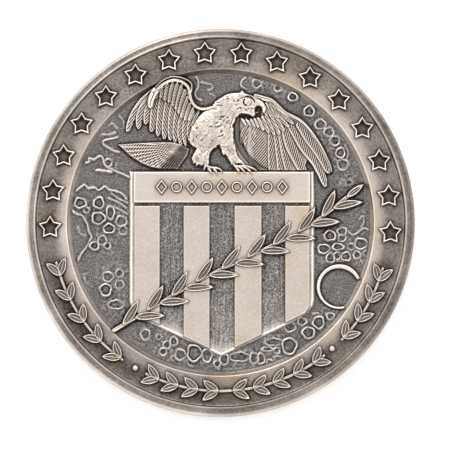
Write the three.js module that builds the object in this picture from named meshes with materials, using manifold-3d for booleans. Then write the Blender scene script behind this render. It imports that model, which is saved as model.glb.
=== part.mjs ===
// A struck silver-coloured medal coin, 38 mm across, lying flat with its obverse up.
//
// Frame: millimetres. +Z is up out of the obverse, +Y is the top of the design and +X its right.
// The origin is the centre of the reverse rim's plane, the face that the coin rests on.
//
// The coin is one rigid blank with raised devices on both faces. Every device of the design is
// its own solid, resting face to face on the surface below it, so that the blank, the frosted
// field and the polished relief can each have their own finish.

import * as THREE from 'three';
import { mergeVertices } from 'three/addons/utils/BufferGeometryUtils.js';
import Module from 'manifold-3d';

const wasm = await Module();
wasm.setup();

// ---------------------------------------------------------------- driving dimensions

const COIN_RADIUS = 19;
const COIN_THICKNESS = 3;
const EDGE_CHAMFER = 0.35;
const OBVERSE_RIM_WIDTH = 0.55;  // flat top of the rim, inside the chamfer
const REVERSE_RIM_WIDTH = 0.75;
const REVERSE_RIM_SLOPE = 0.5;   // how far the reverse rim's inner slope reaches
const AROUND = 96;               // facets around the coin

// Levels above the reverse rim's plane.
const REVERSE_FIELD = 0.45;      // the reverse field is recessed by this much
const FIELD = 2.1;               // frosted central field of the obverse
const BAND = 2.3;                // border band that carries the stars and the laurel
const CREST = 2.55;              // narrow ring between the field and the band
const RELIEF_TOP = 2.95;         // nothing stands above the rim

// Radii of the obverse layout, from the centre out.
const FIELD_RADIUS = 14.75;
const CREST_INNER = 14.95;
const CREST_OUTER = 15.12;
const BAND_INNER = 15.3;
const BAND_OUTER = 17.85;

// Border devices.
const STAR_COUNT = 16;
const STAR_RING = 16.65;         // radius on which the star centres lie
const STAR_FIRST = 181.8;        // degrees; the stars run clockwise over the top
const STAR_STEP = -12.36;
const STAR_OUTER = 1.2;
const STAR_INNER = 0.6;
const STAR_LINE = 0.62;          // the star's inner edge, as a share of its outline
const BORDER_RELIEF = 0.3;
const LEGEND_RING = 16.5;        // radius of the laurel stems
const BORDER_STEM_WIDTH = 0.28;
const BORDER_LEAF = { length: 1.6, width: 0.7, spread: 38 };
const LEAF_LEAD = 2.1;           // degrees from a pair's root to its place
const STEM_OVERHANG = 2.6;       // degrees that a stem runs past its last pairs

// Shield.
const SHIELD = { left: -8.55, right: 8.85, top: 5.0, chiefFoot: 1.85, stripeTop: 1.65 };
const SHIELD_PLATE = 0.15;       // the recessed stripes' level above the field
const STRIPE_RELIEF = 0.2;
const CHIEF_RELIEF = 0.25;
const GAP = 0.03;                // clearance beside a device that another one steps over

const PLATE_TOP = FIELD + SHIELD_PLATE;
const STRIPE_TOP = PLATE_TOP + STRIPE_RELIEF;
const CHIEF_TOP = PLATE_TOP + CHIEF_RELIEF;

// ---------------------------------------------------------------- materials

function metal(color, roughness) {
  return new THREE.MeshStandardMaterial({ color, roughness, metalness: 1 });
}

const MATERIALS = {
  blank: metal(0x8d8985, 0.5),
  polished: metal(0xd9cfc6, 0.3),
  satin: metal(0xd3c9c0, 0.55),
  frosted: metal(0x7f7c7a, 0.7),
};

// ---------------------------------------------------------------- shape helpers

const radians = THREE.MathUtils.degToRad;

function points(...pairs) {
  return pairs.map(([x, y]) => new THREE.Vector2(x, y));
}

// A closed outline that runs smoothly through the given points.
function smooth(pairs, stepsPerPoint = 3) {
  const path = pairs.map(([x, y]) => new THREE.Vector3(x, y, 0));
  const curve = new THREE.CatmullRomCurve3(path, true, 'centripetal');
  const all = curve.getPoints(pairs.length * stepsPerPoint);
  return all.slice(0, -1).map((p) => new THREE.Vector2(p.x, p.y));
}

function ellipse(x, y, rx, ry, tilt = 0, steps = 16) {
  const curve = new THREE.EllipseCurve(x, y, rx, ry, 0, 2 * Math.PI, false, radians(tilt));
  return curve.getPoints(steps).slice(0, -1);
}

// A slender leaf that is pointed at both ends.
function leaf(x, y, angle, length, width) {
  const along = new THREE.Vector2(1, 0).rotateAround(new THREE.Vector2(), angle);
  const across = new THREE.Vector2(-along.y, along.x);
  const from = new THREE.Vector2(x, y);
  const to = from.clone().addScaledVector(along, length);
  const belly = from.clone().addScaledVector(along, 0.45 * length);
  const left = belly.clone().addScaledVector(across, width);
  const right = belly.clone().addScaledVector(across, -width);
  const out = new THREE.QuadraticBezierCurve(from, left, to).getPoints(5);
  const back = new THREE.QuadraticBezierCurve(to, right, from).getPoints(5);
  return [...out.slice(0, -1), ...back.slice(0, -1)];
}

// Two leaves that spread to the left and right of a heading, from one root.
function leafPair(x, y, heading, { length, width, spread }) {
  return [-1, 1].map((side) => leaf(x, y, heading + side * radians(spread), length, width));
}

// An upright five-pointed star.
function star(x, y, outer, inner) {
  const corners = [];
  for (let i = 0; i < 10; i += 1) {
    const r = i % 2 === 0 ? outer : inner;
    const a = Math.PI / 2 + (i * Math.PI) / 5;
    corners.push(new THREE.Vector2(x + r * Math.cos(a), y + r * Math.sin(a)));
  }
  return corners;
}

// Points along an arc around the coin's centre.
function arcPoints(radius, from, to, steps) {
  const arc = [];
  for (let i = 0; i <= steps; i += 1) {
    arc.push(new THREE.Vector2(...polar(radius, from + ((to - from) * i) / steps)));
  }
  return arc;
}

// A band of the given width along an open centre line.
function ribbon(centre, width) {
  const left = [];
  const right = [];
  centre.forEach((p, i) => {
    const before = centre[Math.max(i - 1, 0)];
    const after = centre[Math.min(i + 1, centre.length - 1)];
    const side = after.clone().sub(before).normalize();
    side.set(-side.y, side.x).multiplyScalar(width / 2);
    left.push(p.clone().add(side));
    right.unshift(p.clone().sub(side));
  });
  return [...left, ...right];
}

// The outline as a slab between two levels, with any holes right through it.
function slab(outline, bottom, top, holes = []) {
  const shape = new THREE.Shape(outline);
  shape.holes = holes.map((hole) => new THREE.Path(hole));
  const settings = { depth: top - bottom, bevelEnabled: false };
  return new THREE.ExtrudeGeometry(shape, settings).translate(0, 0, bottom);
}

function toSolid(geometry) {
  const bare = geometry.clone();
  bare.deleteAttribute('normal');
  bare.deleteAttribute('uv');
  const merged = mergeVertices(bare, 1e-5);
  const vertProperties = new Float32Array(merged.attributes.position.array);
  const triVerts = new Uint32Array(merged.index.array);
  return new wasm.Manifold(new wasm.Mesh({ numProp: 3, vertProperties, triVerts }));
}

function toGeometry(solid) {
  const mesh = solid.getMesh();
  const geometry = new THREE.BufferGeometry();
  geometry.setAttribute('position', new THREE.BufferAttribute(mesh.vertProperties, 3));
  geometry.setIndex(new THREE.BufferAttribute(mesh.triVerts, 1));
  geometry.computeVertexNormals();
  return geometry;
}

function join(...geometries) {
  return toGeometry(geometries.map(toSolid).reduce((a, b) => a.add(b)));
}

function cut(geometry, ...cutters) {
  return toGeometry(cutters.map(toSolid).reduce((a, b) => a.subtract(b), toSolid(geometry)));
}

const coin = new THREE.Group();

function addPart(name, geometry, material) {
  const mesh = new THREE.Mesh(geometry, material);
  mesh.name = name;
  coin.add(mesh);
}

function polar(radius, degrees) {
  return [radius * Math.cos(radians(degrees)), radius * Math.sin(radians(degrees))];
}

// ---------------------------------------------------------------- the blank

// Both rims, the edge, the border band, the crest ring and both fields, as one turned section.
function makePlanchet() {
  const rimOuter = COIN_RADIUS - EDGE_CHAMFER;
  const reverseInner = rimOuter - REVERSE_RIM_WIDTH;
  const profile = points(
    [0, REVERSE_FIELD],
    [reverseInner - REVERSE_RIM_SLOPE, REVERSE_FIELD],
    [reverseInner, 0],
    [rimOuter, 0],
    [COIN_RADIUS, EDGE_CHAMFER],
    [COIN_RADIUS, COIN_THICKNESS - EDGE_CHAMFER],
    [rimOuter, COIN_THICKNESS],
    [rimOuter - OBVERSE_RIM_WIDTH, COIN_THICKNESS],
    [BAND_OUTER, BAND],
    [BAND_INNER, BAND],
    [CREST_OUTER, CREST],
    [CREST_INNER, CREST],
    [FIELD_RADIUS, FIELD],
    [0, FIELD],
  );
  return new THREE.LatheGeometry(profile, AROUND).rotateX(Math.PI / 2);
}

// ---------------------------------------------------------------- border devices

// Sixteen outline stars over the top of the border.
function makeStars() {
  for (let i = 0; i < STAR_COUNT; i += 1) {
    const [x, y] = polar(STAR_RING, STAR_FIRST + i * STAR_STEP);
    const hole = star(x, y, STAR_OUTER * STAR_LINE, STAR_INNER * STAR_LINE);
    const body = slab(star(x, y, STAR_OUTER, STAR_INNER), BAND, BAND + BORDER_RELIEF, [hole]);
    addPart(`star_${String(i + 1).padStart(2, '0')}`, body, MATERIALS.polished);
  }
}

// A laurel stem that follows the border, with a pair of leaves at each place. The leaves point
// along the run; a run that grows both ways from its middle has its leaves mirrored there.
function laurelRun(places, growsFrom) {
  const first = places[0] - STEM_OVERHANG;
  const last = places[places.length - 1] + STEM_OVERHANG;
  const top = BAND + BORDER_RELIEF;
  const stem = ribbon(arcPoints(LEGEND_RING, first, last, 12), BORDER_STEM_WIDTH);
  const pieces = [slab(stem, BAND, top)];
  for (const place of places) {
    const way = place >= growsFrom ? 1 : -1;
    const [x, y] = polar(LEGEND_RING, place - LEAF_LEAD * way);
    const heading = radians(place + 90 * way);
    for (const blade of leafPair(x, y, heading, BORDER_LEAF)) {
      pieces.push(slab(blade, BAND, top));
    }
  }
  return join(...pieces);
}

const LAUREL_RUNS = {
  laurel_left: { places: [196.6, 205.6, 214.3, 223.0, 231.9], growsFrom: 360 },
  laurel_foot: {
    places: [246.7, 253.6, 260.5, 267.4, 276.2, 283.1, 290.0, 297.6, 305.2],
    growsFrom: 272,
  },
  laurel_right: { places: [318.6, 326.0, 333.6, 341.4], growsFrom: 0 },
};
const PELLETS = { pellet_left: 239.8, pellet_right: 311.4 };
const PELLET_RADIUS = 0.33;

function makeBorderLaurel() {
  for (const [name, run] of Object.entries(LAUREL_RUNS)) {
    addPart(name, laurelRun(run.places, run.growsFrom), MATERIALS.polished);
  }
  for (const [name, angle] of Object.entries(PELLETS)) {
    const [x, y] = polar(LEGEND_RING, angle);
    const round = ellipse(x, y, PELLET_RADIUS, PELLET_RADIUS, 0, 14);
    addPart(name, slab(round, BAND, BAND + BORDER_RELIEF), MATERIALS.polished);
  }
}

// ---------------------------------------------------------------- shield

const STRIPES = [[-8.48, -5.87], [-3.65, -1.0], [1.33, 4.08], [6.27, 8.78]];

// Straight sides, rounded shoulders and a shallow point.
function shieldOutline(margin = 0) {
  const shoulder = -7.7;
  const outline = [
    [SHIELD.left - margin, SHIELD.top + margin],
    [SHIELD.left - margin, shoulder],
    [-8.3, -8.4 - margin],
    [-7.6, -8.9 - margin],
    [-5.9, -9.75 - margin],
    [0.1, -12.75 - margin],
    [6.3, -9.6 - margin],
    [7.9, -8.85 - margin],
    [8.6, -8.4 - margin],
    [SHIELD.right + margin, shoulder],
    [SHIELD.right + margin, SHIELD.top + margin],
  ];
  return points(...outline);
}

function chiefSlab(margin, bottom) {
  const left = SHIELD.left - margin;
  const right = SHIELD.right + margin;
  const foot = SHIELD.chiefFoot - margin;
  const top = SHIELD.top + margin;
  return slab(points([left, foot], [right, foot], [right, top], [left, top]), bottom, CHIEF_TOP);
}

// One raised stripe: a tall box cut to the shield's own outline, a little inside it.
function stripeSlab(left, right, margin, bottom) {
  const low = -14;
  const top = SHIELD.stripeTop + margin;
  const box = points(
    [left - margin, low],
    [right + margin, low],
    [right + margin, top],
    [left - margin, top],
  );
  const within = slab(shieldOutline(margin), bottom - 1, STRIPE_TOP + 1);
  return toGeometry(toSolid(slab(box, bottom, STRIPE_TOP)).intersect(toSolid(within)));
}

const ORNAMENT = { x: 0.15, y: 3.42, span: 11.6, count: 9, relief: 0.15, line: 0.18 };
const LOZENGE = { wide: 0.6, high: 0.8, steps: 4 };
const BEAD = { wide: 0.54, high: 0.54, steps: 14 };

// A chain of lozenges and beads joined by a thin line, in the middle of the chief.
function chiefOrnament() {
  const top = CHIEF_TOP + ORNAMENT.relief;
  const start = ORNAMENT.x - ORNAMENT.span / 2;
  const ends = points([start, ORNAMENT.y], [start + ORNAMENT.span, ORNAMENT.y]);
  const pieces = [slab(ribbon(ends, ORNAMENT.line), CHIEF_TOP, top)];
  for (let i = 0; i < ORNAMENT.count; i += 1) {
    const x = start + (ORNAMENT.span * i) / (ORNAMENT.count - 1);
    const { wide, high, steps } = i % 2 === 0 ? LOZENGE : BEAD;
    pieces.push(slab(ellipse(x, ORNAMENT.y, wide, high, 0, steps), CHIEF_TOP, top));
  }
  return join(...pieces);
}

function makeShield() {
  addPart('shield_plate', slab(shieldOutline(), FIELD, PLATE_TOP), MATERIALS.frosted);
  addPart('shield_chief', chiefSlab(0, PLATE_TOP), MATERIALS.satin);
  addPart('chief_ornament', chiefOrnament(), MATERIALS.polished);
  STRIPES.forEach(([left, right], i) => {
    const stripe = stripeSlab(left, right, 0, PLATE_TOP);
    addPart(`shield_stripe_${i + 1}`, stripe, MATERIALS.satin);
  });
}

// ---------------------------------------------------------------- eagle

const EAGLE = {
  head: [
    [-0.4, 11.95], [0.0, 12.2], [0.5, 12.5], [1.0, 12.65], [1.6, 12.72], [2.15, 12.8],
    [2.5, 12.6], [3.0, 12.45], [3.5, 12.25], [3.9, 12.0], [4.2, 11.7], [4.42, 11.3],
    [4.4, 11.0], [4.25, 10.8], [4.05, 11.1], [3.75, 11.3], [3.45, 11.1], [3.6, 10.75],
    [3.5, 10.5], [3.25, 10.35], [3.0, 10.45], [2.5, 10.6], [1.95, 10.6], [1.2, 10.9],
    [0.4, 11.4],
  ],
  body: [
    [-0.4, 12.0], [-0.9, 11.4], [-1.4, 11.0], [-2.0, 10.5], [-2.4, 10.0], [-2.9, 9.2],
    [-3.1, 8.5], [-3.2, 7.9], [-2.9, 7.4], [-2.4, 7.15], [-1.6, 7.3], [-0.7, 7.4],
    [0.0, 7.6], [0.6, 7.3], [1.45, 7.1], [1.4, 7.7], [1.3, 8.5], [1.35, 9.3], [1.45, 9.9],
    [1.6, 10.3], [1.95, 10.6], [1.2, 10.95], [0.4, 11.45],
  ],
  leftLeg: [
    [-2.5, 7.3], [-2.6, 6.7], [-2.85, 6.2], [-2.6, 5.8], [-2.3, 5.5], [-1.9, 5.45],
    [-1.6, 5.2], [-1.2, 5.2], [-1.15, 5.6], [-1.1, 6.2], [-1.0, 6.8], [-0.7, 7.2],
    [-0.9, 7.6], [-1.8, 7.6],
  ],
  rightLeg: [
    [-0.1, 7.6], [0.1, 7.0], [0.25, 6.6], [0.5, 6.5], [0.8, 6.0], [1.05, 5.6], [1.1, 5.2],
    [1.7, 5.2], [2.1, 5.4], [2.2, 5.7], [1.9, 6.1], [1.7, 6.4], [1.5, 7.0], [1.4, 7.5],
    [0.8, 7.7],
  ],
  leftWing: [
    [-0.5, 11.6], [-1.2, 11.55], [-2.1, 11.5], [-2.55, 11.75], [-2.8, 12.3], [-2.85, 13.0],
    [-2.8, 13.7], [-3.2, 14.1], [-3.9, 14.3], [-4.8, 14.3], [-5.5, 14.15], [-6.1, 13.6],
    [-6.6, 13.0], [-7.3, 12.5], [-8.0, 11.8], [-8.6, 11.0], [-9.1, 10.2], [-9.35, 9.4],
    [-9.2, 8.75], [-8.7, 9.3], [-8.1, 9.1], [-7.7, 9.7], [-7.35, 9.5], [-7.1, 9.2],
    [-6.75, 8.8], [-6.4, 8.9], [-6.1, 8.4], [-5.75, 8.5], [-5.45, 8.1], [-5.1, 8.2],
    [-4.9, 7.95], [-4.4, 7.7], [-3.65, 7.2], [-3.2, 7.35], [-2.9, 8.2], [-2.2, 9.6],
    [-1.2, 10.8],
  ],
  rightWing: [
    [1.3, 10.3], [2.0, 10.7], [3.2, 10.5], [4.0, 10.9], [4.35, 11.5], [3.7, 12.15],
    [3.9, 12.4], [4.5, 12.35], [5.2, 12.05], [5.9, 11.4], [6.6, 10.8], [7.5, 10.2],
    [8.3, 9.55], [9.0, 8.75], [9.8, 7.65], [10.5, 6.35], [10.98, 5.3], [10.8, 4.75],
    [10.45, 5.0], [10.4, 4.2], [10.27, 3.42], [9.85, 3.75], [9.5, 4.6], [9.0, 5.3],
    [8.5, 5.12], [7.0, 5.1], [5.5, 5.08], [4.3, 5.1], [3.3, 6.1], [2.6, 6.8], [2.1, 7.5],
    [1.8, 8.6], [1.5, 9.6],
  ],
  tail: [
    [-3.0, 7.3], [-4.2, 7.75], [-5.2, 7.95], [-10.05, 7.8], [-9.4, 7.0], [-8.8, 6.5],
    [-8.0, 6.0], [-7.3, 5.65], [-6.5, 5.45], [-5.6, 5.45], [-4.6, 5.5], [-3.7, 6.4],
  ],
};
const WING_RELIEF = 0.65;
const TAIL_RELIEF = 0.4;
const LEG_RELIEF = 0.65;
const TOE_RELIEF = 0.3;

const TOE = { rootY: 5.6, length: 1.15, width: 0.5 };
const TOE_HEADINGS = [-132, -95, -52];

// Three toes that grip the top edge of the shield, fanning out below the leg.
function toes(x) {
  const top = CHIEF_TOP + TOE_RELIEF;
  const blades = TOE_HEADINGS.map((a) => leaf(x, TOE.rootY, radians(a), TOE.length, TOE.width));
  return join(...blades.map((blade) => slab(blade, CHIEF_TOP, top)));
}

// The toes rest on the chief, and the leg rests on the field behind it.
function legWithToes(outline, toeX, body) {
  const leg = slab(smooth(outline, 2), FIELD, FIELD + LEG_RELIEF);
  const trimmed = cut(leg, body, chiefSlab(GAP, FIELD - 1));
  return join(trimmed, toes(toeX));
}

// The left wing rises over the crest ring, so it is cut to the blank as well.
function makeEagle(planchet) {
  const head = slab(smooth(EAGLE.head, 2), FIELD, RELIEF_TOP);
  const wholeBody = slab(smooth(EAGLE.body, 2), FIELD, RELIEF_TOP);
  const body = cut(wholeBody, head);
  const leftLeg = legWithToes(EAGLE.leftLeg, -1.4, wholeBody);
  const rightLeg = legWithToes(EAGLE.rightLeg, 1.7, wholeBody);
  const front = [head, wholeBody, leftLeg, rightLeg];
  const wingTop = FIELD + WING_RELIEF;
  const leftWing = cut(slab(smooth(EAGLE.leftWing, 2), FIELD, wingTop), planchet, ...front);
  const rightWing = cut(slab(smooth(EAGLE.rightWing, 2), FIELD, wingTop), ...front);
  const tail = slab(smooth(EAGLE.tail, 2), FIELD, FIELD + TAIL_RELIEF);
  addPart('eagle_head', head, MATERIALS.polished);
  addPart('eagle_body', body, MATERIALS.polished);
  addPart('eagle_left_leg', leftLeg, MATERIALS.polished);
  addPart('eagle_right_leg', rightLeg, MATERIALS.polished);
  addPart('eagle_left_wing', leftWing, MATERIALS.polished);
  addPart('eagle_right_wing', rightWing, MATERIALS.polished);
  addPart('eagle_tail', cut(tail, ...front, leftWing), MATERIALS.polished);
}

// ---------------------------------------------------------------- branch across the shield

const BRANCH_LINE = [
  [-10.4, -10.6],
  [-6.2, -8.1],
  [-1.5, -5.4],
  [3.6, -3.0],
  [8.6, -0.4],
  [12.6, 2.6],
];
const BRANCH_TOP = CHIEF_TOP + 0.25;
const BRANCH_STEM_WIDTH = 0.42;
const BRANCH_LEAVES = 9;         // leaves on each side of the stem
const BRANCH_LEAF = { length: 2.9, width: 0.8, spread: 30 };
const BRANCH_START = { left: 0.35, right: 0.85 };  // where the first leaf of each side sits

// A leafy stem that rises from lower left to upper right. It stands on the field, and steps
// over the shield's plate and stripes, and over the crest ring at its foot.
function makeBranch(planchet) {
  const path = BRANCH_LINE.map(([x, y]) => new THREE.Vector3(x, y, 0));
  const stem = new THREE.CatmullRomCurve3(path, false, 'centripetal');
  const centre = stem.getPoints(24).map((p) => new THREE.Vector2(p.x, p.y));
  const pieces = [slab(ribbon(centre, BRANCH_STEM_WIDTH), FIELD, BRANCH_TOP)];
  const { length, width, spread } = BRANCH_LEAF;
  for (let i = 0; i < BRANCH_LEAVES; i += 1) {
    for (const side of [-1, 1]) {
      const start = side > 0 ? BRANCH_START.left : BRANCH_START.right;
      const t = (i + start) / (BRANCH_LEAVES + 0.6);
      const p = stem.getPointAt(t);
      const run = stem.getTangentAt(t);
      const heading = Math.atan2(run.y, run.x) + side * radians(spread);
      pieces.push(slab(leaf(p.x, p.y, heading, length, width), FIELD, BRANCH_TOP));
    }
  }
  const whole = join(...pieces);
  const plate = slab(shieldOutline(GAP), FIELD - 1, PLATE_TOP);
  const chief = chiefSlab(GAP, FIELD - 1);
  const stripes = STRIPES.map(([left, right]) => stripeSlab(left, right, GAP, FIELD - 1));
  const branch = cut(whole, planchet, plate, chief, ...stripes);
  addPart('laurel_branch', branch, MATERIALS.polished);
}

// ---------------------------------------------------------------- craters

const CRATER_RELIEF = 0.14;
const CRATER_RIM = 0.17;         // width of a small crater's ring
const BIG_CRATER_RELIEF = 0.25;
const CRATERS = [
  [-11.92, 0.4, 0.7, 0.62], [-13.7, 1.89, 0.62, 0.55], [-10.89, -0.62, 0.6, 0.52],
  [-11.9, 1.9, 0.55, 0.6], [-12.3, -2.3, 0.5, 0.45], [-11.2, -6.6, 0.6, 0.65],
  [10.1, -2.6, 0.62, 0.5], [11.47, -2.4, 0.6, 0.38], [10.7, -1.3, 0.6, 0.55],
  [12.29, -3.35, 0.52, 0.48], [9.58, -9.8, 0.6, 0.65], [8.6, -10.8, 0.65, 0.6],
  [6.73, -12.09, 0.75, 0.85], [-2.54, -12.78, 0.75, 0.85], [7.09, 12.3, 0.5, 0.45],
  [8.69, 10.9, 0.55, 0.55], [11.75, 6.8, 0.5, 0.55],
];
const BIG_CRATER = { x: 11.5, y: -6.3, inner: 1.9, outer: 2.2, from: 34, to: 274 };

function makeCraters() {
  CRATERS.forEach(([x, y, rx, ry], i) => {
    const hole = ellipse(x, y, rx - CRATER_RIM, ry - CRATER_RIM, 0, 12);
    const ring = slab(ellipse(x, y, rx, ry, 0, 12), FIELD, FIELD + CRATER_RELIEF, [hole]);
    addPart(`crater_${String(i + 1).padStart(2, '0')}`, ring, MATERIALS.polished);
  });
  const middle = new THREE.Vector2(BIG_CRATER.x, BIG_CRATER.y);
  const ring = (BIG_CRATER.inner + BIG_CRATER.outer) / 2;
  const arc = arcPoints(ring, BIG_CRATER.from, BIG_CRATER.to, 24).map((p) => p.add(middle));
  const wall = ribbon(arc, BIG_CRATER.outer - BIG_CRATER.inner);
  addPart('crater_large', slab(wall, FIELD, FIELD + BIG_CRATER_RELIEF), MATERIALS.polished);
}

// ---------------------------------------------------------------- reverse

const REVERSE_RELIEF = 0.25;
const WREATH_RING = 13.4;
const WREATH_PAIRS = 11;         // leaf pairs on each half of the wreath
const WREATH_GAP = 11;           // degrees left open on each side of the top
const WREATH_REACH = 155;        // degrees from the foot to the last leaves of a half
const WREATH_STEM_WIDTH = 0.3;
const WREATH_LEAF = { length: 2.6, width: 0.85, spread: 32 };
const REVERSE_STAR = { outer: 7.4, inner: 3.0, holeOuter: 6.2, holeInner: 2.5 };

// A plain laurel wreath, open at the top, around an outline star. Both stay inside the rim's
// plane, so the coin still rests on its rim.
function makeReverse() {
  const bottom = REVERSE_FIELD - REVERSE_RELIEF;
  const stem = arcPoints(WREATH_RING, 90 + WREATH_GAP, 450 - WREATH_GAP, 48);
  const pieces = [slab(ribbon(stem, WREATH_STEM_WIDTH), bottom, REVERSE_FIELD)];
  for (const half of [-1, 1]) {
    for (let i = 0; i < WREATH_PAIRS; i += 1) {
      const angle = 270 + half * (2 + (WREATH_REACH * i) / WREATH_PAIRS);
      const [x, y] = polar(WREATH_RING, angle);
      for (const blade of leafPair(x, y, radians(angle + half * 90), WREATH_LEAF)) {
        pieces.push(slab(blade, bottom, REVERSE_FIELD));
      }
    }
  }
  addPart('reverse_wreath', join(...pieces), MATERIALS.polished);
  const hole = star(0, 0, REVERSE_STAR.holeOuter, REVERSE_STAR.holeInner);
  const outline = star(0, 0, REVERSE_STAR.outer, REVERSE_STAR.inner);
  addPart('reverse_star', slab(outline, bottom, REVERSE_FIELD, [hole]), MATERIALS.polished);
}

const planchet = makePlanchet();
addPart('planchet', planchet, MATERIALS.blank);
makeStars();
makeBorderLaurel();
makeShield();
makeEagle(planchet);
makeBranch(planchet);
makeCraters();
makeReverse();

export default coin;
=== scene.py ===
"""Looks for a struck silver coin with an antique patina, lying flat on a pale table.

Lengths in this script are millimetres in the coin's frame, until a mesh is made. Every device is
sculpted as a height over the face of the coin, from distances to its own outline, and becomes a
closed mesh whose skirt is sunk a little into the metal below it. The patina follows the relief:
where the metal stands above its surroundings it is worn bright, and where it lies below them it
keeps its dark oxide.
"""

import math

import bmesh
import bpy
import numpy as np
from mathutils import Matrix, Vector


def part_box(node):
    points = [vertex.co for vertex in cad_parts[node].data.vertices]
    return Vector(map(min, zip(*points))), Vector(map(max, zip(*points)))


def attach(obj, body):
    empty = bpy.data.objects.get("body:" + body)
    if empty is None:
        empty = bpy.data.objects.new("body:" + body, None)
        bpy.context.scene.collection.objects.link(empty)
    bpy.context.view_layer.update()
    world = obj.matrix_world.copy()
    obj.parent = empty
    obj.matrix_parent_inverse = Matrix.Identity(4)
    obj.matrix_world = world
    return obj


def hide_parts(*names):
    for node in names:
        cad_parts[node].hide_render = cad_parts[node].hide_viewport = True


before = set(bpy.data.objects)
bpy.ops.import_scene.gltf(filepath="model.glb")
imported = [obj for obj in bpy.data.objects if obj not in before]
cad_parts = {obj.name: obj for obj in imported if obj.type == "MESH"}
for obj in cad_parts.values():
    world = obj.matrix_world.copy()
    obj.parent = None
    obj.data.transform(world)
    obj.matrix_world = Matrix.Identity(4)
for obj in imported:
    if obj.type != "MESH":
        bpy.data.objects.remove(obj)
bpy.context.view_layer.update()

MM = 0.001
SEED = 16


def box_mm(node):
    """The lowest and highest corner of a CAD node, in millimetres."""
    low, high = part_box(node)
    return np.array(low) / MM, np.array(high) / MM


def middle_mm(node):
    low, high = box_mm(node)
    return (low + high) / 2


# ------------------------------------------------------------------ levels, from the frame

COIN_RADIUS = box_mm("planchet")[1][0]
COIN_TOP = box_mm("planchet")[1][2]
FIELD = box_mm("shield_plate")[0][2]
PLATE_TOP = box_mm("shield_plate")[1][2]
STRIPE_TOP = box_mm("shield_stripe_1")[1][2]
CHIEF_TOP = box_mm("shield_chief")[1][2]
REVERSE_FIELD = box_mm("reverse_wreath")[1][2]

# Where metal meets metal, a device's skirt and the pieces below it overlap by this much.
SKIRT = 0.25

# ------------------------------------------------------------------ small numeric tools


def smooth_path(points, closed=False, steps=8):
    """A Catmull-Rom path through the points, as an array of x, y rows."""
    p = np.array(points, float)
    ends = (p[-1:], p[:2]) if closed else (2 * p[:1] - p[1:2], 2 * p[-1:] - p[-2:-1])
    q = np.vstack([ends[0], p, ends[1]])
    spans = len(p) if closed else len(p) - 1
    t = np.linspace(0, 1, steps, endpoint=False)[:, None]
    rows = []
    for i in range(spans):
        a, b, c, d = q[i], q[i + 1], q[i + 2], q[i + 3]
        rows.append(0.5 * (2 * b + (c - a) * t + (2 * a - 5 * b + 4 * c - d) * t**2
                           + (3 * b - a - 3 * c + d) * t**3))
    if not closed:
        rows.append(p[-1:])
    return np.vstack(rows)


def along_path(x, y, path):
    """For each point: its distance to the path, its signed side, and its place along it in mm."""
    best = np.full(x.shape, 1e9)
    side = np.zeros(x.shape)
    place = np.zeros(x.shape)
    done = 0.0
    for (ax, ay), (bx, by) in zip(path[:-1], path[1:]):
        ex, ey = bx - ax, by - ay
        length = math.hypot(ex, ey)
        if length < 1e-9:
            continue
        t = ((x - ax) * ex + (y - ay) * ey) / length**2
        inside = np.clip(t, 0, 1)
        dx, dy = x - ax - inside * ex, y - ay - inside * ey
        distance = np.hypot(dx, dy)
        nearer = distance < best
        best = np.where(nearer, distance, best)
        side = np.where(nearer, np.sign(ex * (y - ay) - ey * (x - ax)) * distance, side)
        place = np.where(nearer, done + inside * length, place)
        done += length
    return best, side, place


def inside_by(x, y, outline):
    """How far each point is inside a closed outline; negative outside it."""
    loop = np.vstack([outline, outline[:1]])
    distance = along_path(x, y, loop)[0]
    odd = np.zeros(x.shape, bool)
    for (ax, ay), (bx, by) in zip(loop[:-1], loop[1:]):
        if ay != by:
            crosses = (ay > y) != (by > y)
            odd ^= crosses & (x < (bx - ax) * (y - ay) / (by - ay) + ax)
    return np.where(odd, distance, -distance)


def soft_min(a, b, soft):
    return -soft * np.logaddexp(-a / soft, -b / soft)


def bell(d, width):
    """1 at d = 0, falling smoothly over the given width."""
    return np.exp(-((d / width) ** 2))


def step(value, low, high):
    t = np.clip((value - low) / (high - low), 0, 1)
    return t * t * (3 - 2 * t)


def noise(x, y, size, seed):
    """Smooth value noise from -1 to 1 with features of about the given size in mm."""
    lattice = np.random.default_rng(SEED + seed).uniform(-1, 1, (128, 128))
    fx, fy = x / size + 64.0, y / size + 64.0
    i, j = np.floor(fx).astype(int), np.floor(fy).astype(int)
    u, v = fx - i, fy - j
    u, v = u * u * (3 - 2 * u), v * v * (3 - 2 * v)
    i0, j0, i1, j1 = i % 128, j % 128, (i + 1) % 128, (j + 1) % 128
    low = lattice[i0, j0] * (1 - u) + lattice[i1, j0] * u
    high = lattice[i0, j1] * (1 - u) + lattice[i1, j1] * u
    return low * (1 - v) + high * v


def blur(field, sigma_cells):
    """A Gaussian blur of a 2-D array, with its border repeated."""
    reach = int(3 * sigma_cells) + 1
    kernel = np.exp(-0.5 * (np.arange(-reach, reach + 1) / sigma_cells) ** 2)
    kernel /= kernel.sum()
    for axis in (0, 1):
        pad = [(reach, reach) if a == axis else (0, 0) for a in (0, 1)]
        wide = np.pad(field, pad, mode="edge")
        total = np.zeros_like(field)
        for k, weight in enumerate(kernel):
            part = wide[k:k + field.shape[0], :] if axis == 0 else wide[:, k:k + field.shape[1]]
            total += weight * part
        field = total
    return field


def length_of(path):
    return np.hypot(*np.diff(path, axis=0).T).sum()


def extent(points, margin):
    """The box around some points, or around a node's two corners, grown by a margin."""
    flat = np.asarray(points)[:, :2]
    return flat.min(0) - margin, flat.max(0) + margin


def within(x, y, low, high):
    return (x > low[0]) & (x < high[0]) & (y > low[1]) & (y < high[1])


def cells_at(points):
    """The cells of a grid that have a chosen point at one of their corners."""
    return points[:-1, :-1] | points[:-1, 1:] | points[1:, :-1] | points[1:, 1:]


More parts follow.
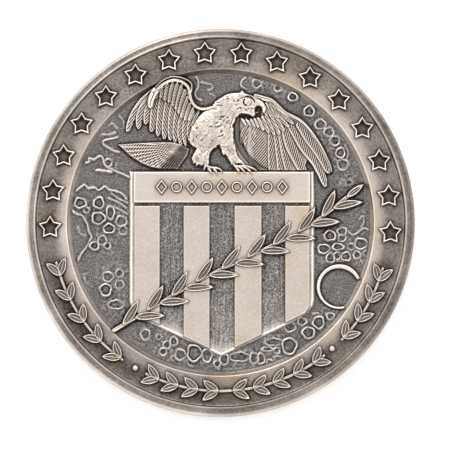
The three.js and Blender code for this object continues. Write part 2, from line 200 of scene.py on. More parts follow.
def grid(low, high, cell):
    xs = np.arange(low[0], high[0] + cell, cell)
    ys = np.arange(low[1], high[1] + cell, cell)
    return np.meshgrid(xs, ys)


def polar(radius, degrees):
    return radius * math.cos(math.radians(degrees)), radius * math.sin(math.radians(degrees))


# ------------------------------------------------------------------ the face of the coin

CREST_RADIUS = 15.05
FIELD_EDGE = 14.63

# Section of the obverse from the field out to the edge: radius, height.
OBVERSE = smooth_path([
    (FIELD_EDGE - 0.2, FIELD), (FIELD_EDGE, FIELD), (14.72, FIELD + 0.05), (14.82, FIELD + 0.13),
    (14.92, FIELD + 0.22), (15.0, FIELD + 0.31), (CREST_RADIUS, FIELD + 0.35),
    (15.1, FIELD + 0.36), (15.3, FIELD + 0.34), (15.8, FIELD + 0.28), (16.3, FIELD + 0.21),
    (16.9, FIELD + 0.16), (17.5, FIELD + 0.15), (17.85, FIELD + 0.16), (17.97, FIELD + 0.21),
    (18.02, FIELD + 0.4), (18.05, COIN_TOP - 0.14), (18.09, COIN_TOP - 0.03), (18.16, COIN_TOP),
    (18.24, COIN_TOP - 0.04), (18.34, COIN_TOP - 0.1), (18.6, COIN_TOP - 0.1),
    (18.74, COIN_TOP - 0.12), (18.87, COIN_TOP - 0.22), (18.96, COIN_TOP - 0.38),
    (COIN_RADIUS, COIN_TOP - 0.6),
], steps=4)
# How bright each part of that section is painted: partly wear on its crests, partly painted light and
# shade on its slopes, such as the lighter inner wall of the crest.
RING_TONES = [
    (14.5, 0.4), (14.7, 0.47), (14.85, 0.5), (14.95, 0.54), (15.02, 0.82), (15.09, 0.76),
    (15.16, 0.57), (15.5, 0.56), (15.9, 0.51), (16.3, 0.38), (17.0, 0.36), (17.6, 0.37),
    (17.85, 0.38), (17.97, 0.56), (18.05, 0.74), (18.2, 0.72), (18.3, 0.42), (18.6, 0.38),
    (18.72, 0.55), (18.83, 0.8), (18.93, 0.62), (19.0, 0.62),
]
# Where the ring is painted brighter or darker around its circle, partly uneven wear and stains and partly
# painted light and shade that change with the side of the coin, such as the darker crest at the top and
# the brighter outer
# slope at the foot: angle and half angle in degrees, radius, half width and how much brighter.
RING_LIGHT_AND_STAINS = [
    (15, 48, 15.2, 0.6, 0.13), (188, 30, 15.2, 0.6, 0.14), (330, 28, 15.2, 0.6, 0.08),
    (106, 30, 15.3, 1.0, -0.3), (228, 14, 15.2, 0.8, -0.06), (270, 25, 15.2, 0.8, -0.04),
    (38, 22, 16.6, 0.8, 0.09), (285, 8, 16.6, 0.7, 0.06), (215, 18, 16.9, 0.9, -0.08),
    (262, 16, 17.2, 0.8, -0.08), (130, 26, 17.5, 0.5, 0.07), (75, 28, 18.12, 0.12, -0.26),
    (300, 38, 18.12, 0.12, -0.3), (250, 12, 18.12, 0.12, -0.12), (0, 48, 18.85, 0.2, -0.3),
    (250, 60, 18.85, 0.2, 0.1), (20, 50, 18.5, 0.2, -0.06),
]


def ring_light_and_stains(x, y):
    radius, angle = np.hypot(x, y), np.degrees(np.arctan2(y, x))
    total = np.zeros(x.shape)
    for middle, spread, ring, width, amount in RING_LIGHT_AND_STAINS:
        turn = (angle - middle + 180) % 360 - 180
        total += amount * bell(turn, spread) * bell(radius - ring, width)
    return total


def turned(x, y):
    """Height of the turned face of the blank, without any device."""
    return np.interp(np.hypot(x, y), OBVERSE[:, 0], OBVERSE[:, 1])


# Craters that the frame doesn't hold: x, y, radius along x, radius along y, ridge height.
SMALL_CRATERS = [
    (-13.1, 1.2, 0.25, 0.25, 0.09), (-10.75, 0.95, 0.36, 0.62, 0.14), (-9.7, 0.1, 0.5, 0.48, 0.1),
    (-9.5, -0.8, 0.38, 0.4, 0.08), (-11.55, -1.8, 0.4, 0.45, 0.1), (-11.05, -2.3, 0.3, 0.28, 0.09),
    (-10.95, 5.85, 0.32, 0.36, 0.1), (-10.98, -5.34, 0.5, 0.45, 0.1), (-9.86, -6.1, 0.4, 0.4, 0.08),
    (-9.86, -5.0, 0.35, 0.35, 0.08), (-10.2, -8.05, 0.75, 0.4, 0.1), (-13.5, -5.9, 0.3, 0.4, 0.06),
    (11.88, -0.9, 0.42, 0.38, 0.1), (11.88, -1.55, 0.36, 0.32, 0.1), (13.75, -2.1, 0.6, 0.5, 0.12),
    (13.35, -3.2, 0.34, 0.34, 0.11), (10.75, -3.5, 0.38, 0.45, 0.11), (11.4, -3.3, 0.3, 0.35, 0.1),
    (12.75, -2.4, 0.3, 0.3, 0.07), (10.75, -9.2, 0.35, 0.32, 0.1), (7.97, -9.7, 0.4, 0.36, 0.1),
    (6.8, -10.2, 0.5, 0.5, 0.09), (5.2, -11.7, 0.85, 0.33, 0.1), (4.6, -12.4, 0.5, 0.2, 0.1),
    (5.5, -12.55, 0.28, 0.28, 0.1), (5.6, -13.35, 0.35, 0.25, 0.08), (4.81, -13.7, 0.28, 0.26, 0.09),
    (3.3, -13.3, 0.4, 0.5, 0.11), (3.95, -13.35, 0.36, 0.5, 0.1), (1.88, -13.15, 0.95, 0.42, 0.1),
    (0.36, -13.4, 0.4, 0.5, 0.11), (-0.32, -13.85, 0.3, 0.32, 0.1), (-1.3, -13.0, 0.45, 0.62, 0.12),
    (-3.9, -12.95, 0.5, 0.5, 0.1), (-4.55, -11.65, 0.35, 0.4, 0.1), (-5.25, -12.0, 0.32, 0.34, 0.09),
    (-5.6, -12.65, 0.34, 0.34, 0.1), (-7.33, -10.97, 0.42, 0.5, 0.1), (-6.0, -11.2, 0.22, 0.22, 0.06),
    (3.55, 13.6, 0.42, 0.4, 0.09), (5.65, 13.2, 0.36, 0.34, 0.1), (9.8, 9.6, 0.5, 0.45, 0.11),
    (10.63, 8.85, 0.45, 0.42, 0.1), (11.2, 8.0, 0.45, 0.45, 0.1), (11.97, 5.66, 0.5, 0.5, 0.1),
    (12.6, 3.9, 0.35, 0.3, 0.05), (13.1, 1.6, 0.3, 0.3, 0.04),
]

# Ragged ridges of the cratered ground: height, half width, then the points they pass.
RIDGES = [
    (0.13, 0.12, [(-14.1, 3.1), (-13.8, 3.35), (-13.3, 3.65), (-12.9, 3.35), (-12.3, 3.4),
        (-11.9, 3.15), (-11.3, 3.5), (-10.9, 3.2), (-10.2, 3.05), (-9.6, 2.8), (-9.2, 2.3)]),
    (0.1, 0.1, [(-10.9, 2.35), (-10.3, 2.1), (-9.7, 1.8), (-9.2, 1.4)]),
    (0.1, 0.1, [(-10.6, 2.8), (-10.1, 2.4), (-9.5, 2.1), (-9.1, 1.9)]),
    (0.09, 0.09, [(-10.8, 1.6), (-10.2, 1.4), (-9.6, 1.1), (-9.1, 0.8)]),
    (0.12, 0.11, [(-14.5, 1.1), (-14.0, 0.8), (-13.5, 0.65), (-13.2, 0.2), (-13.0, -0.2),
        (-12.85, -0.9), (-12.6, -1.4), (-12.75, -1.8), (-12.95, -2.2), (-13.2, -2.6),
        (-13.6, -3.1), (-13.9, -3.7)]),
    (0.06, 0.14, [(-13.9, -0.5), (-13.7, -1.1), (-13.2, -1.3)]),
    (0.15, 0.12, [(-13.2, 5.85), (-12.85, 5.95), (-12.9, 6.3), (-12.4, 6.15), (-12.1, 6.35),
        (-11.8, 6.5), (-11.5, 6.3), (-11.4, 5.8), (-11.1, 5.4), (-10.6, 5.2)]),
    (0.2, 0.16, [(-12.15, 5.12), (-11.7, 5.1), (-11.1, 5.0), (-10.7, 4.95)]),
    (0.13, 0.12, [(-10.6, 5.2), (-10.2, 5.0), (-9.6, 4.75), (-9.0, 4.45), (-8.7, 4.3)]),
    (0.13, 0.13, [(-10.1, 8.35), (-10.6, 8.2), (-11.1, 8.1), (-11.5, 7.95), (-11.4, 7.6),
        (-10.9, 7.3), (-10.4, 7.0), (-9.9, 6.9)]),
    (0.08, 0.14, [(-12.4, 8.7), (-11.7, 8.65), (-10.9, 8.6), (-10.3, 8.75)]),
    (0.07, 0.12, [(-11.9, 9.4), (-11.2, 9.35), (-10.6, 9.7), (-10.1, 9.2)]),
    (0.07, 0.1, [(-9.9, 10.4), (-9.5, 10.0), (-9.45, 9.3)]),
    (0.1, 0.1, [(-2.35, 14.3), (-2.15, 13.8), (-2.2, 13.2), (-2.5, 12.7), (-2.3, 12.2), (-1.9, 12.0)]),
    (0.07, 0.1, [(-1.9, 13.75), (-1.3, 13.6), (-0.85, 13.5), (-0.8, 13.1), (-1.2, 12.95)]),
    (0.06, 0.08, [(-1.0, 12.6), (-0.6, 12.45), (-0.5, 12.2)]),
    (0.11, 0.1, [(2.5, 14.2), (2.15, 13.95), (2.0, 13.6), (2.15, 13.3), (2.5, 13.1)]),
    (0.08, 0.1, [(3.1, 13.9), (3.2, 13.5), (3.3, 13.25)]),
    (0.08, 0.1, [(4.2, 13.9), (4.05, 13.5), (4.15, 13.2)]),
    (0.1, 0.1, [(12.5, -0.9), (12.9, -1.2), (13.3, -1.1), (13.8, -0.7), (14.1, -0.6), (14.7, -0.8)]),
    (0.09, 0.1, [(14.4, -2.6), (13.9, -3.0), (14.2, -3.4), (14.3, -3.8)]),
    (0.08, 0.1, [(13.6, -3.5), (13.9, -4.0), (14.2, -4.2)]),
    (0.08, 0.1, [(11.3, -3.8), (12.0, -3.8), (12.6, -3.7)]),
    (0.07, 0.09, [(13.6, 0.3), (14.0, 0.6), (14.0, -0.1), (13.7, -0.5)]),
    (0.08, 0.1, [(-4.3, -12.9), (-4.8, -13.2), (-4.6, -13.5)]),
    (0.08, 0.1, [(-3.2, -13.4), (-3.1, -13.9), (-2.7, -14.1)]),
    (0.08, 0.1, [(-0.3, -14.2), (-0.15, -14.4)]),
    (0.08, 0.1, [(9.0, -9.0), (9.5, -8.9), (9.9, -9.1)]),
    (0.08, 0.1, [(12.2, 7.5), (12.5, 6.9), (12.4, 6.2), (12.6, 5.6)]),
]


def crater_shape(x, y, cx, cy, rx, ry, height, width=0.11, seed=0):
    """A low ring with an uneven ridge and a floor just below the ground."""
    angle = np.arctan2(y - cy, x - cx)
    uneven = 1 + 0.06 * np.sin(3 * angle + seed) + 0.04 * np.sin(5 * angle + 2 * seed)
    height = height * (1 + 0.3 * np.sin(2 * angle + 1.7 * seed))
    radius = np.hypot((x - cx) / rx, (y - cy) / ry) / uneven
    d = (radius - 1) * 0.5 * (rx + ry)
    ridge = height * bell(d, np.where(d > 0, 1.3 * width, 0.9 * width))
    return ridge - 0.035 * (1 - step(d, -0.2, 0.0))


def ground_tone(height):
    """Ridges of the ground are worn bright, its hollows stay dark."""
    return 1.25 * np.clip(height, -0.06, 0.17)


def terrain(x, y):
    """The cratered ground of the central field, relative to the field's level."""
    lumps = 0.04 * noise(x, y, 0.3, 1) + 0.02 * noise(x, y, 0.16, 2)
    rough = np.zeros(x.shape)
    for cx, cy, rx, ry, _ in SMALL_CRATERS:
        rough = np.maximum(rough, bell(np.hypot(x - cx, y - cy) - 0.5 * (rx + ry), 0.8))
    ground = lumps * (0.25 + 0.75 * rough) + 0.03 * rough
    for i, (cx, cy, rx, ry, height) in enumerate(SMALL_CRATERS):
        near = (abs(x - cx) < rx + 0.6) & (abs(y - cy) < ry + 0.6)
        shape = crater_shape(x[near], y[near], cx, cy, rx, ry, 1.35 * height, 0.12, i)
        ground[near] = np.where(shape > 0, np.maximum(ground[near], shape), ground[near] + shape)
    for height, width, points in RIDGES:
        path = smooth_path(points, steps=4)
        near = within(x, y, *extent(path, 0.6))
        distance = along_path(x[near], y[near], path)[0]
        uneven = 1.15 * width * (1 + 0.35 * noise(x[near], y[near], 0.35, 3))
        ridge = 1.3 * height * bell(distance, uneven)
        ground[near] = np.maximum(ground[near], ridge)
    return ground


# ------------------------------------------------------------------ devices as heights

DEVICES = []


def device(name, finish, bounds, cell, surface, patina, tone=None):
    """Keeps a device's grid of heights, to be made into a mesh once all of them are known.

    surface gives the height of the device's top face in the coin's frame, and falls below the
    metal around it outside its outline. patina is its (level, gain for fine relief, gain for
    broad relief), and tone makes places brighter or darker than that."""
    x, y = grid(*bounds, cell)
    DEVICES.append(dict(name=name, finish=finish, cell=cell, x=x, y=y, z=surface(x, y),
                        patina=patina, tone=tone(x, y) if tone else 0.0))


def outlined(d, height, floor, line=0.15, width=0.085, slope=2.4):
    """A raised outline along the edge of a shape, around a lower floor."""
    top = floor + (height - floor) * bell(d - line, width)
    return soft_min(d * slope, top, 0.025)


def star_outline(x, y, outer, inner):
    turn = math.pi / 2 + np.arange(10) * math.pi / 5
    radius = np.where(np.arange(10) % 2 == 0, outer, inner)
    return np.stack([x + radius * np.cos(turn), y + radius * np.sin(turn)], axis=1)


STAR_POINT, STAR_NOTCH = 1.12, 0.64  # as shares of the frame's star


def add_stars():
    for i in range(1, 17):
        node = f"star_{i:02d}"
        low, high = box_mm(node)
        size = (high[0] - low[0]) / 2 / math.cos(math.radians(18))
        cx, cy = (low[0] + high[0]) / 2, high[1] - size
        outline = star_outline(cx, cy, STAR_POINT * size, STAR_NOTCH * size)

        def surface(x, y):
            return turned(x, y) + outlined(inside_by(x, y, outline), 0.38, 0.03, 0.15, 0.15, 4.5)

        def tone(x, y):
            """A dull hollow, and painted light: the star is painted brighter at its foot than at its
            point.
            """
            return -0.2 * step(inside_by(x, y, outline), 0.3, 0.5) - 0.1 * (y - cy) / size

        device(node, "relief", extent(box_mm(node), 0.35), 0.036, surface, (0.46, 5.0, 0.4), tone)


def leaf_path(x, y, heading, length, bend=0.0):
    """Centre line of a leaf that starts at x, y and curves by bend to its left."""
    along = np.array([math.cos(heading), math.sin(heading)])
    across = np.array([-along[1], along[0]])
    start = np.array([x, y])
    middle = start + 0.5 * length * along + bend * length * across
    end = start + length * along
    t = np.linspace(0, 1, 12)[:, None]
    return (1 - t) ** 2 * start + 2 * t * (1 - t) * middle + t**2 * end


def leaf_pair(x, y, heading, spread, length, width):
    """Two leaves that part by the spread, in degrees, to both sides of the heading."""
    return [(leaf_path(x, y, heading + side * math.radians(spread), length, -0.1 * side),
             length, width) for side in (-1, 1)]


def leaf_depth(x, y, path, length, width):
    """How far each point lies inside a leaf with pointed ends, and its distance to the midrib."""
    distance, _, place = along_path(x, y, path)
    t = np.clip(place / length, 0, 1)
    half = 0.5 * width * (np.sin(math.pi * np.clip(t**0.85, 0, 1))) ** 0.75
    return half - distance, distance


def leaves_surface(x, y, leaves, stem, stem_width, relief):
    """Height of a stem and its leaves: raised edges, a lower blade and a grooved midrib."""
    height = np.full(x.shape, -0.5)
    distance = along_path(x, y, stem)[0]
    rope = outlined(stem_width / 2 - distance, relief, 0.55 * relief, 0.05, 0.05)
    height = np.maximum(height, rope)
    for path, length, width in leaves:
        near = within(x, y, *extent(path, width))
        d, rib = leaf_depth(x[near], y[near], path, length, width)
        blade = outlined(d, 1.1 * relief, 0.55 * relief, 0.1, 0.075, 4.0)
        blade += 0.4 * relief * bell(rib, 0.05) * step(d, 0.05, 0.15)
        height[near] = np.maximum(height[near], blade)
    return height


LEGEND_RING = 16.5
BORDER_LEAF = (33, 1.95, 0.88)  # spread in degrees, length, width
# Where the leaf pairs of each run sit, and the angle from which they grow the other way.
LAUREL_RUNS = {
    "laurel_left": ([196.6, 205.6, 214.3, 223.0, 231.9], 360.0),
    "laurel_foot": ([246.7, 253.6, 260.5, 267.4, 276.2, 283.1, 290.0, 297.6, 305.2], 272.0),
    "laurel_right": ([318.6, 326.0, 333.6, 341.4], 0.0),
}


def add_border_laurel():
    for node, (places, grows_from) in LAUREL_RUNS.items():
        arc = np.linspace(places[0] - 2.6, places[-1] + 2.6, 24)
        stem = np.array([polar(LEGEND_RING, a) for a in arc])
        leaves = []
        for place in places:
            way = 1 if place >= grows_from else -1
            root = polar(LEGEND_RING, place - 2.1 * way)
            leaves += leaf_pair(*root, math.radians(place + 90 * way), *BORDER_LEAF)

        def surface(x, y):
            return turned(x, y) + leaves_surface(x, y, leaves, stem, 0.36, 0.34)

        device(node, "relief", extent(box_mm(node), 0.4), 0.04, surface, (0.5, 4.2, 0.4))
    for node in ("pellet_left", "pellet_right"):
        low, high = box_mm(node)
        cx, cy, _ = middle_mm(node)
        radius = (high[0] - low[0]) / 2

        def surface(x, y):
            r = np.hypot(x - cx, y - cy) / radius
            return turned(x, y) + np.where(r < 1, 0.34 * np.sqrt(np.clip(1 - r * r, 0, 1)), 2 - 2 * r)

        device(node, "relief", extent(box_mm(node), 0.2), 0.036, surface, (0.6, 2.5, 0.9))


# ------------------------------------------------------------------ shield

SHIELD_LOW, SHIELD_HIGH = box_mm("shield_plate")
SHOULDER_Y = -7.7


def shield_outline(margin):
    """Straight sides, rounded shoulders and a shallow point, grown by a margin."""
    left, right = SHIELD_LOW[0] - margin, SHIELD_HIGH[0] + margin
    top, foot = SHIELD_HIGH[1] + margin, SHIELD_LOW[1] - 1.1 * margin
    shoulders = [(left, SHOULDER_Y), (left + 0.15, -8.3), (left + 0.55, -8.85 - margin / 2),
                 (left + 1.3, -9.2 - margin)]
    mirrored = [(right + left - x, y + 0.12) for x, y in shoulders[::-1]]
    return np.array([(left, top), *shoulders, (0.1, foot), *mirrored, (right, top)])


def add_shield():
    plate = shield_outline(0.36)
    plate[plate[:, 1] > 0, 1] = SHIELD_HIGH[1] + 0.02
    inner = shield_outline(0.0)
    inner[1:-1, 1] -= 0.25

    def plate_surface(x, y):
        d = inside_by(x, y, plate)
        edge = (PLATE_TOP - FIELD) + 0.05 * bell(d - 0.16, 0.07) - 0.03 * bell(d - 0.34, 0.06)
        brushed = 0.006 * noise(x, y / 14, 0.09, 5) + 0.006 * noise(x, y, 0.16, 6)
        return FIELD + soft_min(d * 0.9, edge, 0.03) + brushed * step(d, 0.3, 0.5)

    def plate_tone(x, y):
        """Painted light: lighter sloping sides and edge, and a plate that is lighter towards its foot and
        at its point.
        """
        d = inside_by(x, y, plate)
        side = 0.42 * step(d, 0.55, 0.42) * step(y, -8.6, -8.0) + 0.16 * bell(d - 0.2, 0.15)
        return side + 0.1 * step(y, -5.0, -11.0) + 0.26 * step(d, 1.3, 0.2) * step(y, -9.0, -10.5)

    device("shield_plate", "frosted", (SHIELD_LOW[:2] - 0.7, SHIELD_HIGH[:2] + 0.5), 0.06,
           plate_surface, (0.36, 2.6, 0.5), plate_tone)

    def raised_patch(low, high, top):
        """A flat bar with a faint lip, cut off by the shield's own outline."""
        def surface(x, y):
            sides = np.minimum(np.minimum(x - low[0], high[0] - x), np.minimum(y - low[1], high[1] - y))
            d = np.minimum(sides, inside_by(x, y, inner))
            height = top - PLATE_TOP
            lip = 0.02 * bell(d - 0.1, 0.06)
            return PLATE_TOP + soft_min(d * 2.4, height + lip, 0.02) + 0.003 * noise(x, y, 0.2, 7)
        return surface

    for i in range(1, 5):
        node = f"shield_stripe_{i}"
        low, high = box_mm(node)
        surface = raised_patch(low - [0, 9, 0], high, STRIPE_TOP)
        device(node, "satin", extent((low, high), 0.24), 0.06, surface, (0.7, 1.6, 0.0))
    low, high = box_mm("shield_chief")
    ornament_low, ornament_high = box_mm("chief_ornament")
    ornament_y = (ornament_low[1] + ornament_high[1]) / 2

    def chief_tone(x, y):
        """A soft darker halo around the ornament."""
        start, end = ornament_low[0], ornament_high[0]
        along = step(x, start - 0.5, start) * step(x, end + 0.5, end)
        return -0.13 * bell(y - ornament_y, 0.75) * along

    device("shield_chief", "satin", extent((low, high), 0.24), 0.06,
           raised_patch(low, high, CHIEF_TOP), (0.73, 3.4, 0.0), chief_tone)


def add_chief_ornament():
    """A chain of outlined lozenges and rings along the middle of the chief."""
    low, high = box_mm("chief_ornament")
    middle = (low[1] + high[1]) / 2
    start, end = low[0] + 0.5, high[0] - 0.5
    places = np.linspace(start, end, 9)
    ring_radius, half_width, half_height = 0.6, 0.66, 0.86
    lean = math.hypot(half_width, half_height)

    def depth(x, y, cx, i):
        if i % 2:
            return ring_radius - np.hypot(x - cx, y - middle)
        return (1 - abs(x - cx) / half_width - abs(y - middle) / half_height) * 0.512 / lean

    def surface(x, y):
        bar = 0.11 - abs(y - middle) - np.where((x < start) | (x > end), 1.0, 0.0)
        height = outlined(bar, 0.14, 0.1, 0.06, 0.05, 3.0)
        for i, cx in enumerate(places):
            d = depth(x, y, cx, i)
            height = np.where(d > -0.06, outlined(d, 0.24, -0.1, 0.14, 0.12, 3.5), height)
        return CHIEF_TOP + height

    def tone(x, y):
        nearest = np.maximum.reduce([depth(x, y, cx, i) for i, cx in enumerate(places)])
        return -0.2 * step(nearest, 0.2, 0.3) - 0.45 * bell(nearest + 0.02, 0.06)

    device("chief_ornament", "relief", extent((low, high), 0.3), 0.036, surface,
           (0.56, 4.4, 0.0), tone)


# ------------------------------------------------------------------ eagle

BODY = [
    (0.9, 12.3), (-0.5, 11.75), (-0.95, 11.3), (-1.5, 10.95), (-2.0, 10.5), (-2.4, 10.0),
    (-2.85, 9.3), (-3.08, 8.5), (-3.1, 7.95), (-2.8, 7.5), (-2.3, 7.2), (-1.5, 7.1), (-0.8, 7.3),
    (-0.1, 7.55), (0.5, 7.3), (1.0, 7.0), (1.45, 7.0), (1.36, 7.8), (1.28, 8.6), (1.3, 9.2),
    (1.22, 9.45), (1.45, 9.8), (1.55, 10.2), (1.85, 10.6), (2.4, 10.9), (2.2, 12.2),
]
HEAD = [
    (-0.6, 11.6), (-0.3, 12.0), (0.1, 12.25), (0.5, 12.5), (1.0, 12.65), (1.6, 12.72),
    (1.92, 12.75), (2.05, 12.92), (2.25, 12.86), (2.4, 12.68), (2.9, 12.5), (3.4, 12.3),
    (3.9, 12.04), (4.26, 11.74), (4.48, 11.35), (4.52, 11.0), (4.4, 10.72), (4.2, 10.62),
    (4.06, 10.8), (4.05, 11.04), (3.95, 11.26), (3.72, 11.35), (3.48, 11.24), (3.4, 11.05),
    (3.42, 10.85), (3.45, 10.6), (3.36, 10.38), (3.15, 10.28), (2.9, 10.45), (2.4, 10.56),
    (1.95, 10.56), (1.5, 10.2), (0.4, 10.4),
]
LEFT_LEG = [
    (-2.3, 7.6), (-2.38, 7.1), (-2.6, 6.75), (-2.85, 6.25), (-2.72, 5.95), (-2.7, 5.72),
    (-2.45, 5.75), (-2.35, 5.48), (-2.1, 5.62), (-1.85, 5.48), (-1.6, 5.6), (-1.15, 5.58),
    (-1.12, 6.2), (-1.02, 6.7), (-0.72, 7.15), (-0.3, 7.45), (-0.8, 8.0), (-1.8, 8.1),
]
RIGHT_LEG = [
    (-0.12, 7.7), (0.08, 7.1), (0.14, 6.75), (0.32, 6.55), (0.5, 6.6), (0.75, 6.15),
    (1.0, 5.72), (1.12, 5.62), (1.5, 5.72), (1.95, 5.7), (2.35, 5.62), (2.3, 5.85),
    (1.95, 6.2), (1.7, 6.5), (1.55, 7.0), (1.45, 7.6), (0.8, 8.2),
]
# Toes and claws: the way each runs from the ankle down over the chief's top edge.
LEFT_TOES = [
    [(-1.45, 5.7), (-1.5, 5.4), (-1.62, 5.12)],
    [(-1.4, 5.55), (-1.0, 5.36), (-0.4, 5.3), (0.0, 5.14), (0.18, 4.85)],
    [(-1.15, 5.22), (-0.95, 4.95), (-0.88, 4.68)],
    [(-0.62, 5.2), (-0.42, 4.95), (-0.3, 4.64)],
]
RIGHT_TOES = [
    [(1.35, 5.6), (1.6, 5.3), (1.8, 5.0), (1.8, 4.72)],
    [(1.6, 5.5), (2.0, 5.3), (2.3, 5.0), (2.42, 4.74)],
    [(1.9, 5.5), (2.5, 5.3), (2.9, 5.0), (3.06, 4.72)],
    [(2.2, 5.55), (2.8, 5.4), (3.3, 5.2), (3.5, 5.02)],
]


def puffed(d, reach):
    """A rounded swelling that rises from the outline and levels out at the given reach."""
    t = np.clip(d / reach, 0, 1)
    return np.sqrt(1 - (1 - t) ** 2)


def plumage(x, y, size, seed):
    """Short ragged feather marks: pits with a soft lip, in wandering rows."""
    wander = x + 0.3 * noise(x, y, 0.9, seed)
    marks = noise(wander, y, size, seed + 1) + 0.6 * noise(x, wander + y, 0.6 * size, seed + 2)
    return np.clip(marks, -1.2, 0.6)


# Deep marks of the feathers: x, y, half length, half width, tilt in degrees.
BIRD_MARKS = [
    (0.22, 10.3, 0.28, 0.1, 10), (0.0, 10.06, 0.12, 0.08, 40), (-0.32, 9.7, 0.2, 0.08, 15),
    (-0.22, 9.32, 0.3, 0.08, 5), (0.06, 9.46, 0.07, 0.14, 0), (0.12, 8.86, 0.11, 0.15, -20),
    (0.2, 8.5, 0.16, 0.07, 40), (-0.12, 8.36, 0.16, 0.07, 15), (-0.95, 9.3, 0.14, 0.06, 10),
    (0.65, 9.75, 0.045, 0.2, -20), (0.85, 9.85, 0.045, 0.2, -20), (1.05, 9.7, 0.045, 0.2, -20),
    (0.72, 10.2, 0.2, 0.045, 30), (-2.3, 9.2, 0.12, 0.06, 35), (-1.85, 8.0, 0.16, 0.06, 40),
    (-0.25, 11.7, 0.24, 0.045, 0), (-0.1, 11.42, 0.26, 0.04, -5), (0.7, 12.05, 0.16, 0.04, 5),
    (1.72, 11.07, 0.13, 0.07, 20), (1.92, 11.16, 0.07, 0.1, -30), (2.04, 11.1, 0.04, 0.09, 10),
    (2.55, 10.94, 0.17, 0.05, -45), (1.35, 11.83, 0.1, 0.05, 80), (0.3, 11.95, 0.2, 0.035, 10),
    (1.55, 11.45, 0.14, 0.03, -25), (1.75, 11.85, 0.2, 0.03, 12), (2.75, 11.12, 0.12, 0.03, 30),
    (0.75, 12.3, 0.2, 0.03, 15), (-0.5, 11.05, 0.2, 0.035, -10), (0.45, 9.3, 0.035, 0.2, -15),
    (0.35, 9.85, 0.035, 0.18, -25), (0.95, 9.25, 0.035, 0.2, -10), (1.2, 10.1, 0.035, 0.2, -20),
    (-1.6, 9.9, 0.16, 0.03, 35), (-2.3, 8.4, 0.2, 0.035, 50), (-1.3, 8.5, 0.14, 0.035, 20),
    (-0.8, 7.9, 0.12, 0.04, 60), (0.8, 8.1, 0.04, 0.16, -10), (-2.65, 8.0, 0.16, 0.04, 70),
]
BROW = [
    (1.67, 11.95), (2.1, 12.16), (2.5, 12.26), (2.8, 12.29), (3.1, 12.14), (3.28, 11.95),
    (3.36, 11.74),
]
SOCKET = [(2.38, 12.0), (2.27, 11.84), (2.27, 11.66), (2.38, 11.5), (2.55, 11.42)]
GAPE = [(3.45, 11.1), (3.2, 11.08), (3.0, 11.12)]
TONGUE = [(3.66, 10.76), (3.52, 10.74)]
EYE = (2.68, 11.73)
BIRD_PATINA = (0.72, 3.8, 0.0)


def mark_depth(x, y):
    """Small elongated hollows between the feathers, 1 at the middle of each."""
    total = np.zeros(x.shape)
    x, y = x + 0.03 * noise(x, y, 0.12, 70), y + 0.03 * noise(x, y, 0.12, 71)
    for cx, cy, length, width, tilt in BIRD_MARKS:
        turn = math.radians(tilt)
        u = (x - cx) * math.cos(turn) + (y - cy) * math.sin(turn)
        v = (y - cy) * math.cos(turn) - (x - cx) * math.sin(turn)
        total = np.maximum(total, bell(np.hypot(u / length, v / width), 1.0))
    return total


def face_lines(x, y):
    """The brow, the left of the eye socket and the corner of the beak."""
    brow, socket, gape = (along_path(x, y, smooth_path(p, steps=6))[0] for p in (BROW, SOCKET, GAPE))
    deep = bell(brow, 0.035 + 0.1 * bell(x - 2.85, 0.35)) * (0.5 + 0.5 * step(x, 2.0, 2.5))
    right = 0.35 * bell(np.hypot(x - EYE[0], y - EYE[1]) - 0.38, 0.05) * (x > 2.6)
    deep = np.maximum(deep, right)
    return np.maximum(deep, np.maximum(bell(socket, 0.065), 0.6 * bell(gape, 0.05)))


def toward_neck(x, y):
    """Distance behind the line where the head ends and the body begins."""
    return -0.6 * (x - 0.6) - 0.8 * (y - 10.9)


def bird_height(x, y):
    """The skin of the head and body together, above the field."""
    ragged = 0.05 + 0.035 * noise(x, y, 0.16, 64)
    d_body = inside_by(x, y, smooth_path(BODY, closed=True, steps=5)) + ragged
    d_head = inside_by(x, y, smooth_path(HEAD, closed=True, steps=5)) + 0.05
    chest = 0.12 * bell(np.hypot((x + 1.2) / 1.5, (y - 9.2) / 2.2), 1.0)
    body = soft_min(d_body * 4.5, 0.36 + 0.26 * puffed(d_body, 1.0) + chest, 0.03)
    crown = 0.5 + 0.2 * puffed(d_head, 0.7) - 0.25 * step(toward_neck(x, y), -0.6, 0.6)
    crown += 0.03 * bell(np.hypot(x - EYE[0], y - EYE[1]), 0.3)
    head = soft_min(d_head * 4.5, crown, 0.03)
    skin = -soft_min(-body, -head, 0.05)
    down = 0.012 * plumage(x, y, 0.26, 20) + 0.014 * plumage(x, y, 0.13, 24)
    inside = step(np.maximum(d_body, d_head), 0.1, 0.3)
    return skin + inside * (down - 0.1 * mark_depth(x, y) - 0.16 * face_lines(x, y))


def bird_tone(x, y):
    """Uneven polish, with dark oxide left in the marks."""
    soft = 0.05 * noise(x, y, 0.8, 61) + 0.04 * noise(x, y, 0.3, 65) + 0.13 * plumage(x, y, 0.15, 62)
    return soft - 0.35 * mark_depth(x, y) - 0.5 * face_lines(x, y)


def add_eagle_body():
    def surface(x, y):
        behind = step(toward_neck(x, y), -0.4, -0.1)
        return FIELD + np.where(behind > 0, bird_height(x, y) - 0.03 * (1 - behind), -0.3)

    device("eagle_body", "plumage", extent(BODY, 0.3), 0.036, surface, BIRD_PATINA, bird_tone)


def add_eagle_head():
    def surface(x, y):
        behind = step(toward_neck(x, y), 0.0, 0.35)
        skin = bird_height(x, y) + 0.002 - 0.03 * behind
        tongue = 0.5 - 0.6 * (along_path(x, y, TONGUE)[0] / 0.1) ** 2
        return FIELD + np.where(behind < 1, np.maximum(skin, tongue), -0.3)

    device("eagle_head", "plumage", extent(HEAD, 0.3), 0.03, surface, BIRD_PATINA, bird_tone)


